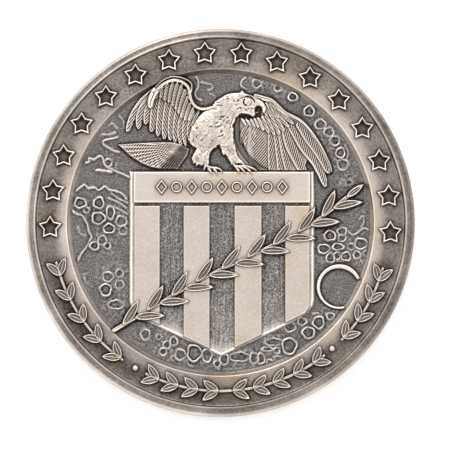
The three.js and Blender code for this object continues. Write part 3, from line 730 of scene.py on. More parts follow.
def add_leg(node, points, toes):
    """A feathered thigh and shank, with knuckled toes that grip the chief's top edge."""
    outline = smooth_path(points, closed=True, steps=4)
    paths = [smooth_path(toe, steps=6) for toe in toes]

    def surface(x, y):
        d = inside_by(x, y, outline) + 0.05 + 0.035 * noise(x, y, 0.16, 66)
        marks = 0.045 * plumage(x, y, 0.22, 40) + 0.02 * plumage(x, y, 0.13, 44)
        height = soft_min(d * 4.5, 0.36 + 0.22 * puffed(d, 0.6) + marks, 0.03)
        for path in paths:
            distance, _, place = along_path(x, y, path)
            total = length_of(path)
            taper = 1 - 0.55 * step(place, 0.55 * total, total)
            radius = 0.135 * taper
            knuckle = 1 + 0.12 * np.sin(place * 14)
            toe = CHIEF_TOP - FIELD + 0.24 * (1 - (distance / (radius * knuckle)) ** 2)
            toe = np.where(distance > 1.1 * radius, CHIEF_TOP - FIELD - 6 * (distance - radius), toe)
            height = np.maximum(height, np.maximum(toe, -0.3))
        return FIELD + height

    device(node, "plumage", extent(np.vstack([outline, *paths]), 0.25), 0.034, surface,
           (0.7, 3.8, 0.0), lambda x, y: 0.12 * plumage(x, y, 0.18, 63))


# Feathers: the line down the middle, the width, and the angle of the barbs (None when smooth).
# Later ones lie on top of earlier ones.
LEFT_PRIMARIES = [
    ([(-6.5, 13.0), (-7.65, 11.85), (-8.6, 10.4), (-9.15, 8.8)], 0.78, 50),
    ([(-6.7, 12.5), (-7.5, 11.5), (-7.95, 10.4), (-8.0, 9.1)], 0.78, 50),
    ([(-6.8, 11.9), (-7.2, 10.8), (-7.3, 9.55)], 0.7, 48),
    ([(-6.35, 12.4), (-6.5, 11.0), (-6.62, 9.8), (-6.75, 8.8)], 0.8, 114),
    ([(-5.75, 12.3), (-5.85, 11.0), (-6.0, 9.6), (-6.12, 8.4)], 0.78, 114),
    ([(-5.15, 12.2), (-5.3, 10.8), (-5.45, 9.4), (-5.48, 8.08)], 0.74, 114),
    ([(-4.65, 11.8), (-4.8, 10.4), (-4.9, 9.2), (-4.9, 7.95)], 0.7, 114),
    ([(-4.15, 11.3), (-4.35, 10.0), (-4.45, 8.8), (-4.42, 7.7)], 0.64, 112),
    ([(-3.6, 11.0), (-3.9, 9.8), (-4.0, 8.6), (-3.82, 7.35)], 0.58, 60),
    ([(-3.1, 10.9), (-3.45, 9.8), (-3.55, 8.6), (-3.4, 7.4)], 0.54, 60),
    ([(-2.6, 10.9), (-2.98, 9.8), (-3.1, 8.8), (-3.0, 7.8)], 0.5, 60),
    ([(-2.15, 10.8), (-2.55, 9.9), (-2.7, 9.1), (-2.7, 8.2)], 0.46, 60),
]
LEFT_COVERTS = [
    ([(-6.15, 12.9), (-6.3, 12.1)], 0.44, 120), ([(-5.65, 13.4), (-5.85, 12.15)], 0.54, 120),
    ([(-5.15, 13.7), (-5.45, 11.9)], 0.58, 120), ([(-4.65, 13.8), (-5.05, 11.7)], 0.6, 120),
    ([(-4.2, 13.7), (-4.68, 11.35)], 0.6, 120), ([(-3.8, 13.4), (-4.36, 11.0)], 0.62, 120),
    ([(-3.45, 12.9), (-4.1, 10.6)], 0.62, 120), ([(-3.2, 12.2), (-3.85, 10.2)], 0.6, 120),
    ([(-2.95, 11.6), (-3.5, 9.95)], 0.54, 120), ([(-2.6, 11.3), (-3.1, 9.9)], 0.46, 120),
]
LEFT_ROLL = [
    (-0.75, 11.25), (-1.4, 11.08), (-2.0, 11.1), (-2.5, 11.38), (-2.85, 11.9), (-3.0, 12.5),
    (-3.12, 13.1), (-3.5, 13.55), (-4.1, 13.85), (-4.8, 13.86), (-5.5, 13.55), (-6.1, 13.05),
    (-6.5, 12.45), (-6.75, 11.9), (-6.85, 11.4),
]
LEFT_OUTER_RIDGE = [
    (-2.88, 12.7), (-2.8, 13.2), (-2.86, 13.6), (-3.3, 13.95), (-4.0, 14.2), (-4.8, 14.24),
    (-5.5, 13.98), (-6.1, 13.5), (-6.6, 12.9), (-6.92, 12.2), (-7.02, 11.6),
]
RIGHT_PRIMARIES = [
    ([(3.5, 9.4), (3.6, 7.5), (4.1, 4.0)], 2.5, 50),
    ([(4.92, 8.9), (4.95, 6.6), (5.0, 4.3)], 0.78, 72), ([(5.4, 8.9), (5.75, 6.6), (5.9, 4.2)], 0.82, 72),
    ([(5.85, 8.9), (6.25, 6.8), (6.8, 4.3)], 0.86, 72),
    ([(6.3, 9.0), (6.75, 7.6), (7.5, 6.1), (8.3, 4.5)], 1.2, 74),
    ([(6.9, 9.3), (8.1, 7.35), (9.25, 5.9), (9.95, 4.5), (10.3, 3.4)], 0.98, 76),
    ([(7.7, 9.5), (8.55, 8.2), (9.45, 7.0), (10.15, 5.8), (10.62, 4.75)], 0.98, 76),
]
RIGHT_INNER = [
    ([(3.5, 9.3), (3.15, 8.4), (3.0, 7.2)], 0.62, 62), ([(3.05, 9.35), (2.65, 8.5), (2.5, 7.4)], 0.6, 62),
    ([(2.6, 9.4), (2.2, 8.6), (2.12, 7.7)], 0.56, 62),
]
RIGHT_COVERTS = [
    ([(2.1, 10.15), (2.5, 9.5)], 0.34, None), ([(2.5, 10.15), (2.95, 9.45)], 0.34, None),
    ([(2.95, 10.1), (3.35, 9.38)], 0.34, None), ([(3.35, 10.1), (3.75, 9.25)], 0.36, None),
    ([(3.7, 10.2), (4.25, 8.98)], 0.44, None), ([(4.1, 10.3), (4.75, 8.74)], 0.48, 128),
    ([(4.5, 10.4), (5.28, 8.55)], 0.52, 128), ([(4.95, 10.4), (5.8, 8.56)], 0.55, 132),
    ([(5.35, 10.4), (6.2, 8.9)], 0.55, 136), ([(5.75, 10.4), (6.65, 9.3)], 0.52, 140),
    ([(6.15, 10.4), (7.15, 9.62)], 0.48, 144),
]
RIGHT_LESSER = [
    ([(4.15, 11.3), (4.55, 10.45)], 0.4, 118), ([(4.5, 11.6), (4.95, 10.3)], 0.44, 118),
    ([(4.85, 11.6), (5.35, 10.25)], 0.44, 122), ([(5.2, 11.4), (5.75, 10.2)], 0.44, 126),
    ([(5.55, 11.1), (6.15, 10.2)], 0.42, 130), ([(5.9, 10.9), (6.55, 10.15)], 0.4, 134),
]
RIGHT_ROLL = [
    (3.45, 12.38), (4.2, 12.18), (5.0, 11.92), (5.6, 11.4), (6.3, 10.75), (7.1, 10.35),
    (7.9, 9.9), (8.6, 9.2), (9.25, 8.35), (9.85, 7.4), (10.35, 6.4), (10.75, 5.5), (10.85, 4.95),
]
SIDE_BAND = [
    (1.55, 10.4), (1.56, 9.4), (1.66, 8.4), (1.92, 7.45), (2.36, 6.65), (2.95, 6.0), (3.65, 5.42),
    (4.4, 5.0),
]
LEFT_PLATE = np.array([
    (-6.85, 12.4), (-7.7, 11.4), (-8.1, 10.3), (-7.6, 9.95), (-7.2, 10.0), (-6.6, 9.4),
    (-5.9, 9.0), (-5.2, 8.7), (-4.4, 8.3), (-3.6, 7.9), (-3.0, 8.6), (-2.2, 10.5), (-2.6, 11.2),
    (-3.05, 11.9), (-3.2, 12.9), (-4.2, 13.7), (-5.4, 13.5),
])
RIGHT_PLATE = np.array([
    (1.25, 10.4), (1.2, 8.4), (1.3, 7.0), (1.6, 6.0), (2.2, 5.4), (3.0, 4.9), (4.4, 4.8),
    (8.05, 4.5), (8.5, 6.1), (9.3, 5.75), (9.9, 5.0), (10.35, 5.1), (10.0, 7.0), (9.2, 8.4),
    (8.0, 9.7), (6.8, 10.4), (5.6, 11.3), (4.4, 12.25), (3.8, 12.1), (3.9, 11.6), (4.0, 11.0),
    (3.95, 10.3), (3.6, 10.2), (3.4, 9.95),
])
# How feathers are modelled: the vane's crown, the shaft's height, where the shaft lies from -1,
# one edge, to 1, the other, and the height of the barbs.
SHORT_VANE = dict(crown=0.06, shaft=0.06, shaft_at=-0.4, barb=0.04)
BARBED_VANE = dict(crown=0.03, shaft=0.1, shaft_at=-0.68, barb=0.08)
COVERT_VANE = dict(crown=0.04, shaft=0.05, shaft_at=0.5, barb=0.06)
LESSER_VANE = dict(crown=0.04, shaft=0.03, shaft_at=0.5, barb=0.055)
BARB_PITCH = 0.2
WING_CELL = 0.033


def lay_feathers(x, y, feathers, base, lift, crown, shaft, shaft_at, barb):
    """Overlapping feathers: crowned vanes with a raised shaft and slanting barbs. Returns the
    heights, -1 where there is no feather, and how far each point is inside the whole group."""
    height, depth = np.full(x.shape, -1.0), np.full(x.shape, -1.0)
    for order, (points, width, angle) in enumerate(feathers):
        path = smooth_path(points, steps=5)
        near = within(x, y, *extent(path, width))
        distance, side, place = along_path(x[near], y[near], path)
        t = place / length_of(path)
        tip = np.sqrt(np.clip(1 - (np.clip(t - 0.86, 0, 1) / 0.14) ** 2, 0.03, 1))
        half = 0.5 * width * (0.75 + 0.25 * step(t, 0, 0.4)) * (1 - 0.2 * step(t, 0.5, 1)) * tip
        across = side / half
        value = base + lift * order / len(feathers) + crown * (1 - across**2)
        value += shaft * bell(across - shaft_at, 0.24) - 0.11 * bell(1 - abs(across), 0.16)
        if angle is not None:
            turn = math.radians(angle)
            lines = (x[near] * math.sin(turn) - y[near] * math.cos(turn)) / BARB_PITCH + 0.37 * order
            free = step(abs(across - shaft_at), 0.2, 0.42) * step(1 - abs(across), 0.0, 0.15)
            value += barb * np.sin(2 * math.pi * lines) * free
        height[near] = np.where(distance < half, value, height[near])
        depth[near] = np.maximum(depth[near], half - distance)
    return height, depth


def roll_height(x, y, path, width_from, width_to, top, groove=0.12):
    """A rounded bar along a path with a groove along it, and the depth inside it."""
    distance, side, place = along_path(x, y, path)
    half = 0.5 * (width_from + (width_to - width_from) * place / place.max())
    t = np.clip(distance / half, 0, 1.2)
    bar = top * np.sqrt(np.clip(1 - 0.5 * t**2, 0, 1)) - groove * bell(side / half + 0.1, 0.24)
    return np.where(distance < half, bar, -1.0), half - distance


def roll_tone(x, y, path, half):
    """Bright along both sides of a roll, dull in its groove."""
    distance, side, _ = along_path(x, y, path)
    return step(distance, half + 0.06, half - 0.08) * (0.16 - 0.3 * bell(side / half + 0.1, 0.22))


def wing_surface(x, y, layers, plate):
    """The highest of several layers over a low plate, with a steep wall around all of them."""
    base = inside_by(x, y, plate)
    height = np.maximum.reduce([layer[0] for layer in layers])
    height = np.maximum(height, np.where(base > 0, 0.17, -1.0))
    depth = np.maximum.reduce([base] + [layer[1] for layer in layers])
    above_shield = np.where((x > -3.5) & (x < SHIELD_HIGH[0] + 0.35), y - SHIELD_HIGH[1] - 0.04, 1.0)
    depth = np.minimum(depth, above_shield)
    return FIELD + np.where(height < -0.5, np.minimum(depth * 4.0, 0.12),
                            soft_min(depth * 4.0, height, 0.02))


def add_left_wing():
    roll = smooth_path(LEFT_ROLL, steps=6)
    ridge = smooth_path(LEFT_OUTER_RIDGE, steps=6)

    def surface(x, y):
        return wing_surface(x, y, [
            lay_feathers(x, y, LEFT_PRIMARIES, 0.22, 0.12, **BARBED_VANE),
            lay_feathers(x, y, LEFT_COVERTS, 0.4, 0.06, **SHORT_VANE),
            roll_height(x, y, roll, 0.52, 0.56, 0.74),
            roll_height(x, y, ridge, 0.36, 0.3, 0.62, 0.0),
        ], LEFT_PLATE)

    def tone(x, y):
        bright = roll_tone(x, y, roll, 0.24)
        bright = np.maximum(bright, 0.14 * step(along_path(x, y, ridge)[0], 0.18, 0.08))
        return bright - 0.13 * step(y + 0.3 * x, 9.4, 10.4) * (bright < 0.02)

    device("eagle_left_wing", "feathers", ((-9.8, 6.9), (-0.3, 14.7)), WING_CELL, surface,
           (0.64, 4.6, 0.1), tone)


def add_right_wing():
    roll = smooth_path(RIGHT_ROLL, steps=6)
    band = smooth_path(SIDE_BAND, steps=6)

    def surface(x, y):
        return wing_surface(x, y, [
            lay_feathers(x, y, RIGHT_PRIMARIES, 0.2, 0.12, **BARBED_VANE),
            lay_feathers(x, y, RIGHT_INNER, 0.24, 0.05, **BARBED_VANE),
            lay_feathers(x, y, RIGHT_COVERTS, 0.36, 0.06, **COVERT_VANE),
            lay_feathers(x, y, RIGHT_LESSER, 0.42, 0.04, **LESSER_VANE),
            roll_height(x, y, roll, 0.62, 0.34, 0.7),
            roll_height(x, y, band, 0.6, 0.44, 0.3, 0.0),
        ], RIGHT_PLATE)

    def tone(x, y):
        distance, side, _ = along_path(x, y, band)
        # Painted shade over the side band between body and wing, deepest in a line along its wing side.
        side_band_shade = 0.38 * step(distance, 0.36, 0.2) + 0.3 * bell(side - 0.33, 0.07)
        return roll_tone(x, y, roll, 0.27) - side_band_shade

    device("eagle_right_wing", "feathers", ((1.3, 3.1), (11.5, 12.9)), WING_CELL, surface,
           (0.615, 4.6, 0.1), tone)


TAIL = np.array([
    (-3.0, 7.2), (-3.9, 7.7), (-4.8, 7.9), (-5.8, 7.9), (-7.6, 7.84), (-10.2, 7.66), (-9.55, 7.1),
    (-8.8, 6.4), (-7.75, 5.72), (-6.75, 5.32), (-5.8, 5.18), (-4.1, 5.16), (-3.7, 5.8), (-3.2, 6.5),
])
TAIL_ROOT = np.array([-3.6, 7.35])
RAY_DEGREES = 4.6
TAIL_BARB_PITCH = 0.26


def add_tail():
    def lower_part(x, y):
        """1 in the shaded part below a line from the foot of the fan to its root."""
        return step(0.72 * (x + 6.1) - 0.69 * (y - 5.2), -0.2, 0.3)

    def boss_at(x, y):
        """1 at the downy boss where the fan leaves the body."""
        return bell(np.hypot((x + 4.7) / 0.55, (y - 6.85) / 0.28), 1.0)

    def surface(x, y):
        d = inside_by(x, y, TAIL)
        angle = np.degrees(np.arctan2(TAIL_ROOT[1] - y, TAIL_ROOT[0] - x))
        ray = 2 * ((angle / RAY_DEGREES) % 1) - 1
        far = step(np.hypot(x - TAIL_ROOT[0], y - TAIL_ROOT[1]), 0.6, 1.6)
        barbs = 2 * math.pi * (x - 0.8 * y) / TAIL_BARB_PITCH
        hatch = (0.06 * np.sin(barbs) - 0.04) * step(abs(ray), 0.9, 0.5)
        shaft = 0.06 * bell(1 - abs(ray), 0.4)
        boss = boss_at(x, y)
        height = 0.36 + far * (1 - boss) * (hatch + shaft) + 0.04 * bell(d - 0.14, 0.09)
        height += boss * (0.07 + 0.05 * plumage(x, y, 0.2, 60))
        return FIELD + soft_min(d * 4.0, height - 0.16 * lower_part(x, y), 0.02)

    # Painted shade over the lower part of the fan; the fan is also darker towards its root and a little
    # darker overall.
    def tone(x, y):
        shade = (boss_at(x, y) - 1) * 0.3 * lower_part(x, y)
        return shade - 0.08 * step(x, -6.0, -4.4) - 0.05

    device("eagle_tail", "feathers", extent(TAIL, 0.25), WING_CELL, surface, (0.66, 4.6, 0.1), tone)


# ------------------------------------------------------------------ branch across the shield

BRANCH_LINE = [(-10.4, -10.6), (-6.2, -8.1), (-1.5, -5.4), (3.6, -3.0), (8.6, -0.4), (12.6, 2.6)]
BRANCH_LEAVES = 9  # on each side
LEAF_STARTS = {-1: 0.85, 1: 0.35}  # where the first leaf of each side sits, in leaf spacings


def add_branch():
    stem = smooth_path(BRANCH_LINE, steps=10)
    lengths = np.concatenate([[0], np.cumsum(np.hypot(*np.diff(stem, axis=0).T))])
    leaves = []
    for i in range(BRANCH_LEAVES):
        for side, start in LEAF_STARTS.items():
            at = (i + start) / (BRANCH_LEAVES + 0.6) * lengths[-1]
            x, y = (np.interp(at, lengths, stem[:, k]) for k in (0, 1))
            ahead = [np.interp(at + 0.1, lengths, stem[:, k]) for k in (0, 1)]
            heading = math.atan2(ahead[1] - y, ahead[0] - x) + side * math.radians(27)
            leaves.append((leaf_path(x, y, heading, 3.1, -0.08 * side), 3.1, 0.86))
    end = math.atan2(*(stem[-1] - stem[-2])[::-1])
    leaves.append((leaf_path(stem[-1][0] - 0.3, stem[-1][1] - 0.2, end, 2.2, 0.0), 2.2, 0.7))

    def surface(x, y):
        height = leaves_surface(x, y, leaves, stem, 0.42, 0.3)
        deep = np.where(height < 0, 4 * height, height)
        return np.maximum(STRIPE_TOP + deep, FIELD - 0.2)

    device("laurel_branch", "relief", extent(box_mm("laurel_branch"), 0.6), 0.04, surface,
           (0.42, 4.6, 0.3))


# ------------------------------------------------------------------ craters of the frame

BIG_CRATER = [11.6, -6.35]
BIG_CRATER_RADIUS = 2.03
BIG_CRATER_ARC = (27, 282)  # degrees


def add_craters():
    for i in range(1, 18):
        node = f"crater_{i:02d}"
        low, high = box_mm(node)
        cx, cy, _ = middle_mm(node)
        rx, ry = (high[0] - low[0]) / 2 - 0.09, (high[1] - low[1]) / 2 - 0.09

        def surface(x, y):
            ring = crater_shape(x, y, cx, cy, rx, ry, 0.22, 0.15, i)
            return FIELD + ring + 0.03 * noise(x, y, 0.3, 8) - 0.02

        device(node, "field", extent((low, high), 0.3), 0.04, surface, (0.32, 4.4, 0.3),
               lambda x, y: ground_tone(surface(x, y) - FIELD))
    arc = np.linspace(*BIG_CRATER_ARC, 60)
    path = np.array([polar(BIG_CRATER_RADIUS, a) for a in arc]) + BIG_CRATER

    def wall(x, y):
        distance, _, place = along_path(x, y, path)
        t = place / place.max()
        half = 0.14 + 0.12 * bell(t - 0.15, 0.2) + 0.08 * bell(t - 0.5, 0.3)
        return FIELD + np.maximum(0.34 * (1 - (distance / half) ** 4), -0.3)

    device("crater_large", "relief", extent(path, 0.5), 0.04, wall, (0.72, 3.0, 0.4))


add_shield()
add_chief_ornament()
add_tail()
add_left_wing()
add_right_wing()
add_eagle_body()
add_eagle_head()
add_leg("eagle_left_leg", LEFT_LEG, LEFT_TOES)
add_leg("eagle_right_leg", RIGHT_LEG, RIGHT_TOES)
add_branch()
add_craters()
add_stars()
add_border_laurel()

# ------------------------------------------------------------------ the whole relief and its patina

MAP_CELL = 0.05
MAP_LOW = -COIN_RADIUS - 0.5
MAP_X, MAP_Y = grid((MAP_LOW, MAP_LOW), (-MAP_LOW, -MAP_LOW), MAP_CELL)


def sample(values, x, y, low_x, low_y, cell):
    """Bilinear reading of a grid of values at the points x, y."""
    fx = np.clip((x - low_x) / cell, 0, values.shape[1] - 1.001)
    fy = np.clip((y - low_y) / cell, 0, values.shape[0] - 1.001)
    i, j = fx.astype(int), fy.astype(int)
    u, v = fx - i, fy - j
    near = values[j, i] * (1 - u) + values[j, i + 1] * u
    far = values[j + 1, i] * (1 - u) + values[j + 1, i + 1] * u
    return near * (1 - v) + far * v


FIELD_CELL = 0.07
FIELD_X, FIELD_Y = grid((-FIELD_EDGE - 0.1,) * 2, (FIELD_EDGE + 0.1,) * 2, FIELD_CELL)
FIELD_RADII = np.hypot(FIELD_X, FIELD_Y)
FIELD_Z = FIELD + terrain(FIELD_X, FIELD_Y) * step(FIELD_RADII, FIELD_EDGE + 0.05, FIELD_EDGE - 0.25)

RELIEF = turned(MAP_X, MAP_Y)
inner_map = np.hypot(MAP_X, MAP_Y) < FIELD_EDGE
RELIEF[inner_map] = sample(FIELD_Z, MAP_X[inner_map], MAP_Y[inner_map],
                           FIELD_X[0, 0], FIELD_Y[0, 0], FIELD_CELL)
for item in DEVICES:
    low = (item["x"][0, 0], item["y"][0, 0])
    high = (item["x"][0, -1], item["y"][-1, 0])
    near = within(MAP_X, MAP_Y, low, high)
    over = sample(item["z"], MAP_X[near], MAP_Y[near], low[0], low[1], item["cell"])
    RELIEF[near] = np.maximum(RELIEF[near], over)

RAISED = RELIEF - turned(MAP_X, MAP_Y)
FINE = RAISED - blur(RAISED, 0.11 / MAP_CELL)
BROAD = RAISED - blur(RAISED, 0.4 / MAP_CELL)


def relief_at(values, x, y):
    return sample(values, x, y, MAP_LOW, MAP_LOW, MAP_CELL)


def wear_at(x, y, z, patina, clip=True):
    """How bright the metal is worn at each point, from 0, dark oxide, to 1, bare silver."""
    level, fine_gain, broad_gain = patina
    # The walls' own steepness would burn out their feet and tops, so fine relief is limited.
    fine = z - relief_at(RELIEF, x, y) + relief_at(FINE, x, y)
    limit = np.where(fine > 0, 0.16, 0.08)
    fine = limit * np.tanh(fine / limit)
    broad = np.clip(relief_at(BROAD, x, y), -0.25, 0.12)
    wear_and_light = level + fine_gain * fine + broad_gain * broad
    return np.clip(wear_and_light, 0, 1) if clip else wear_and_light


# ------------------------------------------------------------------ meshes


def close_mesh(mesh):
    """Fills the open loops of the underside, so the mesh is one closed body."""
    bm = bmesh.new()
    bm.from_mesh(mesh)
    rim = [e for e in bm.edges if len(e.link_faces) == 1]
    bmesh.ops.triangle_fill(bm, use_beauty=False, use_dissolve=False, edges=rim,
                            normal=Vector((0, 0, -1)))
    bmesh.ops.recalc_face_normals(bm, faces=bm.faces)
    bm.to_mesh(mesh)
    bm.free()


def set_wear_and_light(mesh, values):
    # The attribute holds the metal's wear, and on some pieces painted light and shade as well.
    mesh.attributes.new("wear_and_light", "FLOAT", "POINT").data.foreach_set("value", values)
    mesh.polygons.foreach_set("use_smooth", np.ones(len(mesh.polygons), bool))


def without_pinches(keep):
    """Fills cells so that no two kept cells meet at a corner only."""
    keep = keep.copy()
    for _ in range(4):
        a, b, c, d = keep[:-1, :-1], keep[:-1, 1:], keep[1:, :-1], keep[1:, 1:]
        falling = a & d & ~b & ~c
        rising = b & c & ~a & ~d
        if not falling.any() and not rising.any():
            break
        keep[:-1, 1:] |= falling
        keep[:-1, :-1] |= rising
    return keep


def relief_mesh(name, x, y, z, keep, floor, wear_and_light):
    """A closed mesh from a grid of heights: the kept cells on top, walls and a flat underside."""
    keep = without_pinches(keep)
    used = np.zeros(x.shape, bool)
    for rows in (slice(None, -1), slice(1, None)):
        for columns in (slice(None, -1), slice(1, None)):
            used[rows, columns] |= keep
    index = np.full(x.shape, -1)
    index[used] = np.arange(used.sum())
    top = np.stack([x[used], y[used], z[used]], axis=1)
    a, b, c, d = index[:-1, :-1], index[:-1, 1:], index[1:, 1:], index[1:, :-1]
    quads = np.stack([a[keep], b[keep], c[keep], d[keep]], axis=1)
    padded = np.pad(keep, 1)
    edges = [
        (a, b, keep & ~padded[:-2, 1:-1]), (b, c, keep & ~padded[1:-1, 2:]),
        (c, d, keep & ~padded[2:, 1:-1]), (d, a, keep & ~padded[1:-1, :-2]),
    ]
    open_edges = np.vstack([np.stack([p[m], q[m]], axis=1) for p, q, m in edges])
    rim = np.unique(open_edges)
    lower = np.full(len(top), -1)
    lower[rim] = len(top) + np.arange(len(rim))
    base = top[rim].copy()
    base[:, 2] = floor
    first, second = open_edges.T
    walls = np.stack([second, first, lower[first], lower[second]], axis=1)
    mesh = bpy.data.meshes.new(name)
    corners, faces = np.vstack([top, base]) * MM, np.vstack([quads, walls])
    mesh.from_pydata(corners.tolist(), [], faces.tolist())
    close_mesh(mesh)
    values = np.zeros(len(mesh.vertices), np.float32)
    values[:len(top)] = wear_and_light[used]
    set_wear_and_light(mesh, values)
    return mesh


def show(mesh, finish, node):
    """Makes a mesh a piece of the coin that stands for a CAD node."""
    piece = bpy.data.objects.new(mesh.name, mesh)
    bpy.context.scene.collection.objects.link(piece)
    mesh.materials.append(MATERIALS[finish])
    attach(piece, "root")
    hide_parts(node)


# ------------------------------------------------------------------ materials


def add_node(tree, kind, sockets, output, **settings):
    """Adds a shader node, sets or links its sockets, and returns one of its outputs."""
    node = tree.nodes.new("ShaderNode" + kind)
    for key, value in settings.items():
        setattr(node, key, value)
    for key, value in sockets.items():
        if isinstance(value, bpy.types.NodeSocket):
            tree.links.new(value, node.inputs[key])
        else:
            node.inputs[key].default_value = value
    return node.outputs[output]


def map_range(tree, value, source, target):
    return add_node(tree, "MapRange", {
        "Value": value, "From Min": source[0], "From Max": source[1], "To Min": target[0],
        "To Max": target[1]}, "Result")


def silver(name, ramp, rough, grain, grain_depth, speckle, stain=0.0, streak=0.0, smudge=0.1):
    """Antiqued silver. ramp gives colours against the wear attribute, which on some pieces also holds
    painted light and shade, and rough is the roughness when dark and when worn. grain is the size in
    mm of the frosted pits, grain_depth their depth in mm, and speckle how much they change the colour;
    streak is how strongly the metal is brushed, smudge how cloudy its polish is, and stain how yellow
    its tarnished patches are."""
    material = bpy.data.materials.new(name)
    material.use_nodes = True
    tree = material.node_tree
    shader = tree.nodes["Principled BSDF"]
    shader.inputs["Metallic"].default_value = 1.0
    place = add_node(tree, "TexCoord", {}, "Object")
    wear_and_light = add_node(tree, "Attribute", {}, "Fac", attribute_name="wear_and_light")

    def noise_node(size_mm, detail, source=place):
        return add_node(tree, "TexNoise", {
            "Scale": 1 / (size_mm * MM), "Detail": detail, "Vector": source}, "Fac")

    def combine(operation, a, b):
        return add_node(tree, "Math", {0: a, 1: b}, 0, operation=operation)

    def centred(source, amount):
        return combine("MULTIPLY", combine("SUBTRACT", source, 0.5), amount)

    pits = noise_node(grain, 3.0)
    calm = map_range(tree, wear_and_light, (0.4, 0.72), (1.0, 0.3))
    total = combine("ADD", wear_and_light, combine("MULTIPLY", centred(pits, speckle), calm))
    total = combine("ADD", total, centred(noise_node(2.6, 4.0), smudge))
    if streak:
        drawn_out = add_node(tree, "Mapping", {"Vector": place, "Scale": (1.0, 0.05, 1.0)}, "Vector")
        total = combine("ADD", total, centred(noise_node(0.16, 2.0, drawn_out), streak))

    colour = add_node(tree, "ValToRGB", {"Fac": total}, "Color")
    stops = colour.node.color_ramp.elements
    stops[0].position, stops[1].position = ramp[0][0], ramp[-1][0]
    for position, _ in ramp[1:-1]:
        stops.new(position)
    for stop, (_, rgb) in zip(stops, ramp):
        stop.color = (*[METAL_SHADE * c for c in rgb], 1)
    if stain:
        spots = map_range(tree, noise_node(4.5, 3.0), (0.56, 0.74), (0.0, stain))
        colour = add_node(tree, "Mix", {"Factor": spots, "A": colour, "B": (0.96, 0.88, 0.7, 1)},
                          "Result", data_type="RGBA", blend_type="MULTIPLY")
    bump = add_node(tree, "Bump", {"Distance": grain_depth * MM, "Height": pits}, "Normal")
    roughness = map_range(tree, total, (0.0, 1.0), rough)
    for socket, value in (("Base Color", colour), ("Roughness", roughness), ("Normal", bump)):
        tree.links.new(value, shader.inputs[socket])
    return material


# The light is strong enough to wash the floor out to white, so the metal is darkened to match.
LIGHT_SHARE = 1.3
METAL_SHADE = 1 / LIGHT_SHARE
EYE_GAMMA = 2.4
RAMP_STOPS = 11


def tone_ramp(oxide, tarnish, half_worn, bare):
    """Stops of a colour ramp through four tones, mixed evenly in how bright they look."""
    looks = np.array([oxide, tarnish, half_worn, bare]) ** (1 / EYE_GAMMA)
    stops = np.linspace(0, 1, RAMP_STOPS)
    mixed = [np.interp(stops, (0.0, 0.3, 0.6, 1.0), channel) ** EYE_GAMMA for channel in looks.T]
    return list(zip(stops, zip(*mixed)))


BARE_SILVER = (0.95, 0.87, 0.8)
WARM_RAMP = tone_ramp((0.02, 0.016, 0.014), (0.14, 0.125, 0.115), (0.4, 0.35, 0.315), BARE_SILVER)
COOL_RAMP = tone_ramp((0.02, 0.017, 0.016), (0.135, 0.13, 0.13), (0.39, 0.355, 0.33), BARE_SILVER)

MATERIALS = {
    "relief": silver("silver_relief", WARM_RAMP, (0.5, 0.3), 0.2, 0.006, 0.3, stain=0.4),
    "plumage": silver("silver_plumage", WARM_RAMP, (0.6, 0.42), 0.16, 0.008, 0.25, smudge=0.08),
    "feathers": silver("silver_feathers", WARM_RAMP, (0.55, 0.34), 0.14, 0.006, 0.3),
    "satin": silver("silver_satin", WARM_RAMP, (0.5, 0.46), 0.1, 0.008, 1.0, stain=0.7, smudge=0.1),
    "frosted": silver("silver_frosted", COOL_RAMP, (0.6, 0.45), 0.1, 0.02, 1.5, streak=0.45),
    "field": silver("silver_field", COOL_RAMP, (0.6, 0.36), 0.095, 0.02, 1.25),
    "blank": silver("silver_blank", WARM_RAMP, (0.5, 0.26), 0.2, 0.006, 0.5, stain=0.8, smudge=0.3),
}

# ------------------------------------------------------------------ pieces


def make_devices():
    for item in DEVICES:
        name, finish, x, y = (item[key] for key in ("name", "finish", "x", "y"))
        below = np.where(np.hypot(x, y) < FIELD_EDGE, FIELD, turned(x, y))
        if finish == "satin":
            below = np.full(x.shape, PLATE_TOP)
        if name == "chief_ornament":
            below = np.full(x.shape, CHIEF_TOP)
        keep = cells_at(item["z"] > below - 0.015)
        z = np.maximum(item["z"], below - 0.15)
        # A device's tone adds oxide and stains, and on some devices painted light and shade.
        wear_and_light = np.clip(wear_at(x, y, z, item["patina"]) + item["tone"], 0, 1)
        show(relief_mesh(name, x, y, z, keep, below.min() - SKIRT, wear_and_light), finish, name)


def make_field():
    """The cratered ground inside the crest ring, left out where the shield covers it."""
    centre_x, centre_y = FIELD_X + FIELD_CELL / 2, FIELD_Y + FIELD_CELL / 2
    hidden = inside_by(centre_x, centre_y, shield_outline(-0.6)) > 0
    near = (np.hypot(centre_x, centre_y) < FIELD_EDGE + 0.04) & ~hidden
    z = FIELD_Z - 0.006 * step(FIELD_RADII, FIELD_EDGE - 0.15, FIELD_EDGE)
    wear_and_light = wear_at(FIELD_X, FIELD_Y, FIELD_Z, (0.32, 4.6, 0.3)) + ground_tone(FIELD_Z - FIELD)
    mesh = relief_mesh("field", FIELD_X, FIELD_Y, z, near[:-1, :-1], FIELD - 0.2, wear_and_light)
    show(mesh, "field", "planchet")


REVERSE_GROUND = REVERSE_FIELD + 0.01
EDGE_TOP, EDGE_FOOT = 1.5, 0.5
# Section of the edge and the reverse, from the obverse's edge round to the middle of the back.
REVERSE = [
    (COIN_RADIUS, EDGE_TOP), (COIN_RADIUS, 0.55), (18.96, 0.36), (18.86, 0.18), (18.72, 0.05),
    (18.55, 0.0), (18.2, 0.0), (18.06, 0.03), (17.96, 0.14), (17.88, 0.32), (17.74, 0.42),
    (17.5, REVERSE_FIELD), (17.0, REVERSE_GROUND),
]
AROUND = 900  # faces around the coin


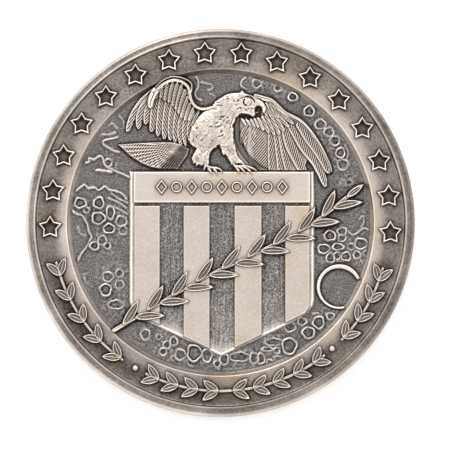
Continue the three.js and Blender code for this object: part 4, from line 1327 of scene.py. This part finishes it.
def make_planchet():
    """The blank: rims, edge, dished border band, crest ring and the reverse field."""
    front = OBVERSE[OBVERSE[:, 0] >= FIELD_EDGE - 0.01]
    back = smooth_path(REVERSE, steps=3)
    bed = FIELD - SKIRT
    ground = [(r, REVERSE_GROUND) for r in (15.5, 12, 8, 4, 1)]
    rings = np.array([(FIELD_EDGE - 0.05, bed), *front, *back, *ground])
    radii, heights = rings[:, :1], rings[:, 1:]
    turn = np.arange(AROUND) * 2 * math.pi / AROUND
    x, y = radii * np.cos(turn), radii * np.sin(turn)
    band = (radii > 15.2) & (radii < 17.8) & (heights > 1)
    z = np.repeat(heights, AROUND, axis=1) + np.where(band, 0.006 * noise(x, y, 0.6, 50), 0)
    corners = np.stack([x, y, z], axis=2).reshape(-1, 3)
    corners = np.vstack([corners, [(0, 0, bed), (0, 0, REVERSE_GROUND)]])
    ring = np.arange(x.size).reshape(x.shape)
    following = np.roll(ring, -1, axis=1)
    quads = np.stack([ring[:-1], ring[1:], following[1:], following[:-1]], axis=2).reshape(-1, 4)
    caps = [(x.size, a, b) for a, b in zip(ring[0], following[0])]
    caps += [(x.size + 1, b, a) for a, b in zip(ring[-1], following[-1])]
    mesh = bpy.data.meshes.new("planchet")
    mesh.from_pydata((corners * MM).tolist(), [], quads.tolist() + caps)

    x, y, z = corners.T
    radius = np.hypot(x, y)
    tones = np.array(RING_TONES)
    # The front's worn relief plus the ring's tones, which also hold painted light and shade on its
    # slopes.
    front_wear_and_light = wear_at(x, y, z, (0.0, 3.0, 0.6), clip=False)
    front_wear_and_light += np.interp(radius, tones[:, 0], tones[:, 1])
    # Uneven wear and stains around the ring, with painted light and shade that change with the side of
    # the coin.
    stains_and_light = ring_light_and_stains(x, y)
    stains_and_light += 0.09 * (radius < 18.95) * noise(x, y, 2.3, 52) * (radius > 17.9)
    legend = step(y, -2.6, -4.2) * bell(radius - 16.7, 1.0) * (radius < 17.9)
    stains_and_light -= 0.1 * legend
    edge_wear = 0.66 + 0.1 * noise(x * 2, y * 2, 1.2, 51)
    back_wear = 0.36 + 0.4 * step(radius, 17.9, 18.1) - 0.2 * bell(radius - 17.6, 0.25)
    wear_and_light = np.where(z > EDGE_TOP, front_wear_and_light + stains_and_light, np.where(z > EDGE_FOOT, edge_wear, back_wear))
    set_wear_and_light(mesh, np.clip(wear_and_light, 0, 1).astype(np.float32))
    show(mesh, "blank", "planchet")


WREATH_RING, WREATH_PAIRS, WREATH_GAP = 13.4, 11, 11
WREATH_LEAF = (30, 2.7, 0.95)  # spread in degrees, length, width
REVERSE_STAR = star_outline(0, 0, 7.4, 3.0)


def make_reverse():
    """A plain wreath and an outline star on the back, sculpted looking up at it."""
    turn = np.linspace(90 + WREATH_GAP, 450 - WREATH_GAP, 90)
    stem = np.array([polar(WREATH_RING, a) for a in turn])
    leaves = []
    for half in (-1, 1):
        for i in range(WREATH_PAIRS):
            angle = 270 + half * (2 + 155 * i / WREATH_PAIRS)
            root = polar(WREATH_RING, angle)
            leaves += leaf_pair(*root, math.radians(angle + half * 90), *WREATH_LEAF)

    def wreath(x, y):
        return leaves_surface(x, y, leaves, stem, 0.28, 0.21)

    def star(x, y):
        return outlined(inside_by(x, y, REVERSE_STAR), 0.28, -0.2, 0.45, 0.3, 1.4)

    for name, height_at in (("reverse_wreath", wreath), ("reverse_star", star)):
        x, y = grid(*extent(box_mm(name), 0.4), 0.07)
        height = height_at(x, y)
        keep = cells_at(height > -0.015)
        height = np.maximum(height, -0.12)
        wear_and_light = np.clip(0.6 + 3.0 * (height - blur(height, 2.2)), 0, 1)
        mesh = relief_mesh(name, x, -y, REVERSE_GROUND - height, keep, REVERSE_GROUND + 0.3, wear_and_light)
        show(mesh, "relief", name)


make_devices()
make_field()
make_planchet()
make_reverse()

# ------------------------------------------------------------------ floor, light and camera


def make_floor():
    bpy.ops.mesh.primitive_plane_add(size=2.4, location=(0, 0, 0))
    floor = bpy.context.object
    floor.name = "floor"
    material = bpy.data.materials.new("pale_floor")
    material.use_nodes = True
    shader = material.node_tree.nodes["Principled BSDF"]
    shader.inputs["Base Color"].default_value = (0.94, 0.94, 0.94, 1)
    shader.inputs["Roughness"].default_value = 0.9
    floor.data.materials.append(material)


KEY_PLACE = Vector((-0.12, 0.4, 0.42))


def make_light():
    """One large soft light, from the left of the top of the design."""
    data = bpy.data.lights.new("key", "AREA")
    data.shape = "DISK"
    data.size = 0.34
    data.energy = 1.05 * LIGHT_SHARE
    light = bpy.data.objects.new("key", data)
    bpy.context.scene.collection.objects.link(light)
    light.location = KEY_PLACE
    light.rotation_euler = (-KEY_PLACE).to_track_quat("-Z", "Y").to_euler()


def make_world():
    """A white tent, brighter towards the top of the design than towards its foot."""
    world = bpy.data.worlds.new("tent")
    world.use_nodes = True
    tree = world.node_tree
    direction = add_node(tree, "TexCoord", {}, "Generated")
    bright_side = Vector((-0.25, 0.85, 0.3)).normalized()
    facing = add_node(tree, "VectorMath", {0: direction, 1: bright_side}, "Value",
                      operation="DOT_PRODUCT")
    strength = map_range(tree, facing, (-1.0, 1.0), (0.92 * LIGHT_SHARE, 1.4 * LIGHT_SHARE))
    background = tree.nodes["Background"]
    tree.links.new(strength, background.inputs["Strength"])
    background.inputs["Color"].default_value = (1.0, 0.99, 0.98, 1)
    bpy.context.scene.world = world


CAMERA_ELEVATION = 86.5
LENS = 300.0
SENSOR = 36.0
PICTURE_WIDTH_MM = 43.9
AIM = Vector((0.45, -0.32, COIN_TOP)) * MM


def make_camera():
    """Almost straight above the coin, looking slightly from its foot."""
    data = bpy.data.cameras.new("camera")
    data.lens = LENS
    data.sensor_width = SENSOR
    data.clip_start = 0.01
    camera = bpy.data.objects.new("camera", data)
    bpy.context.scene.collection.objects.link(camera)
    tilt = math.radians(CAMERA_ELEVATION)
    distance = PICTURE_WIDTH_MM * MM * LENS / SENSOR
    camera.location = AIM + distance * Vector((0, -math.cos(tilt), math.sin(tilt)))
    camera.rotation_euler = (AIM - camera.location).to_track_quat("-Z", "Y").to_euler()
    bpy.context.scene.camera = camera


make_floor()
make_light()
make_world()
make_camera()
bpy.context.scene.view_settings.view_transform = "Standard"
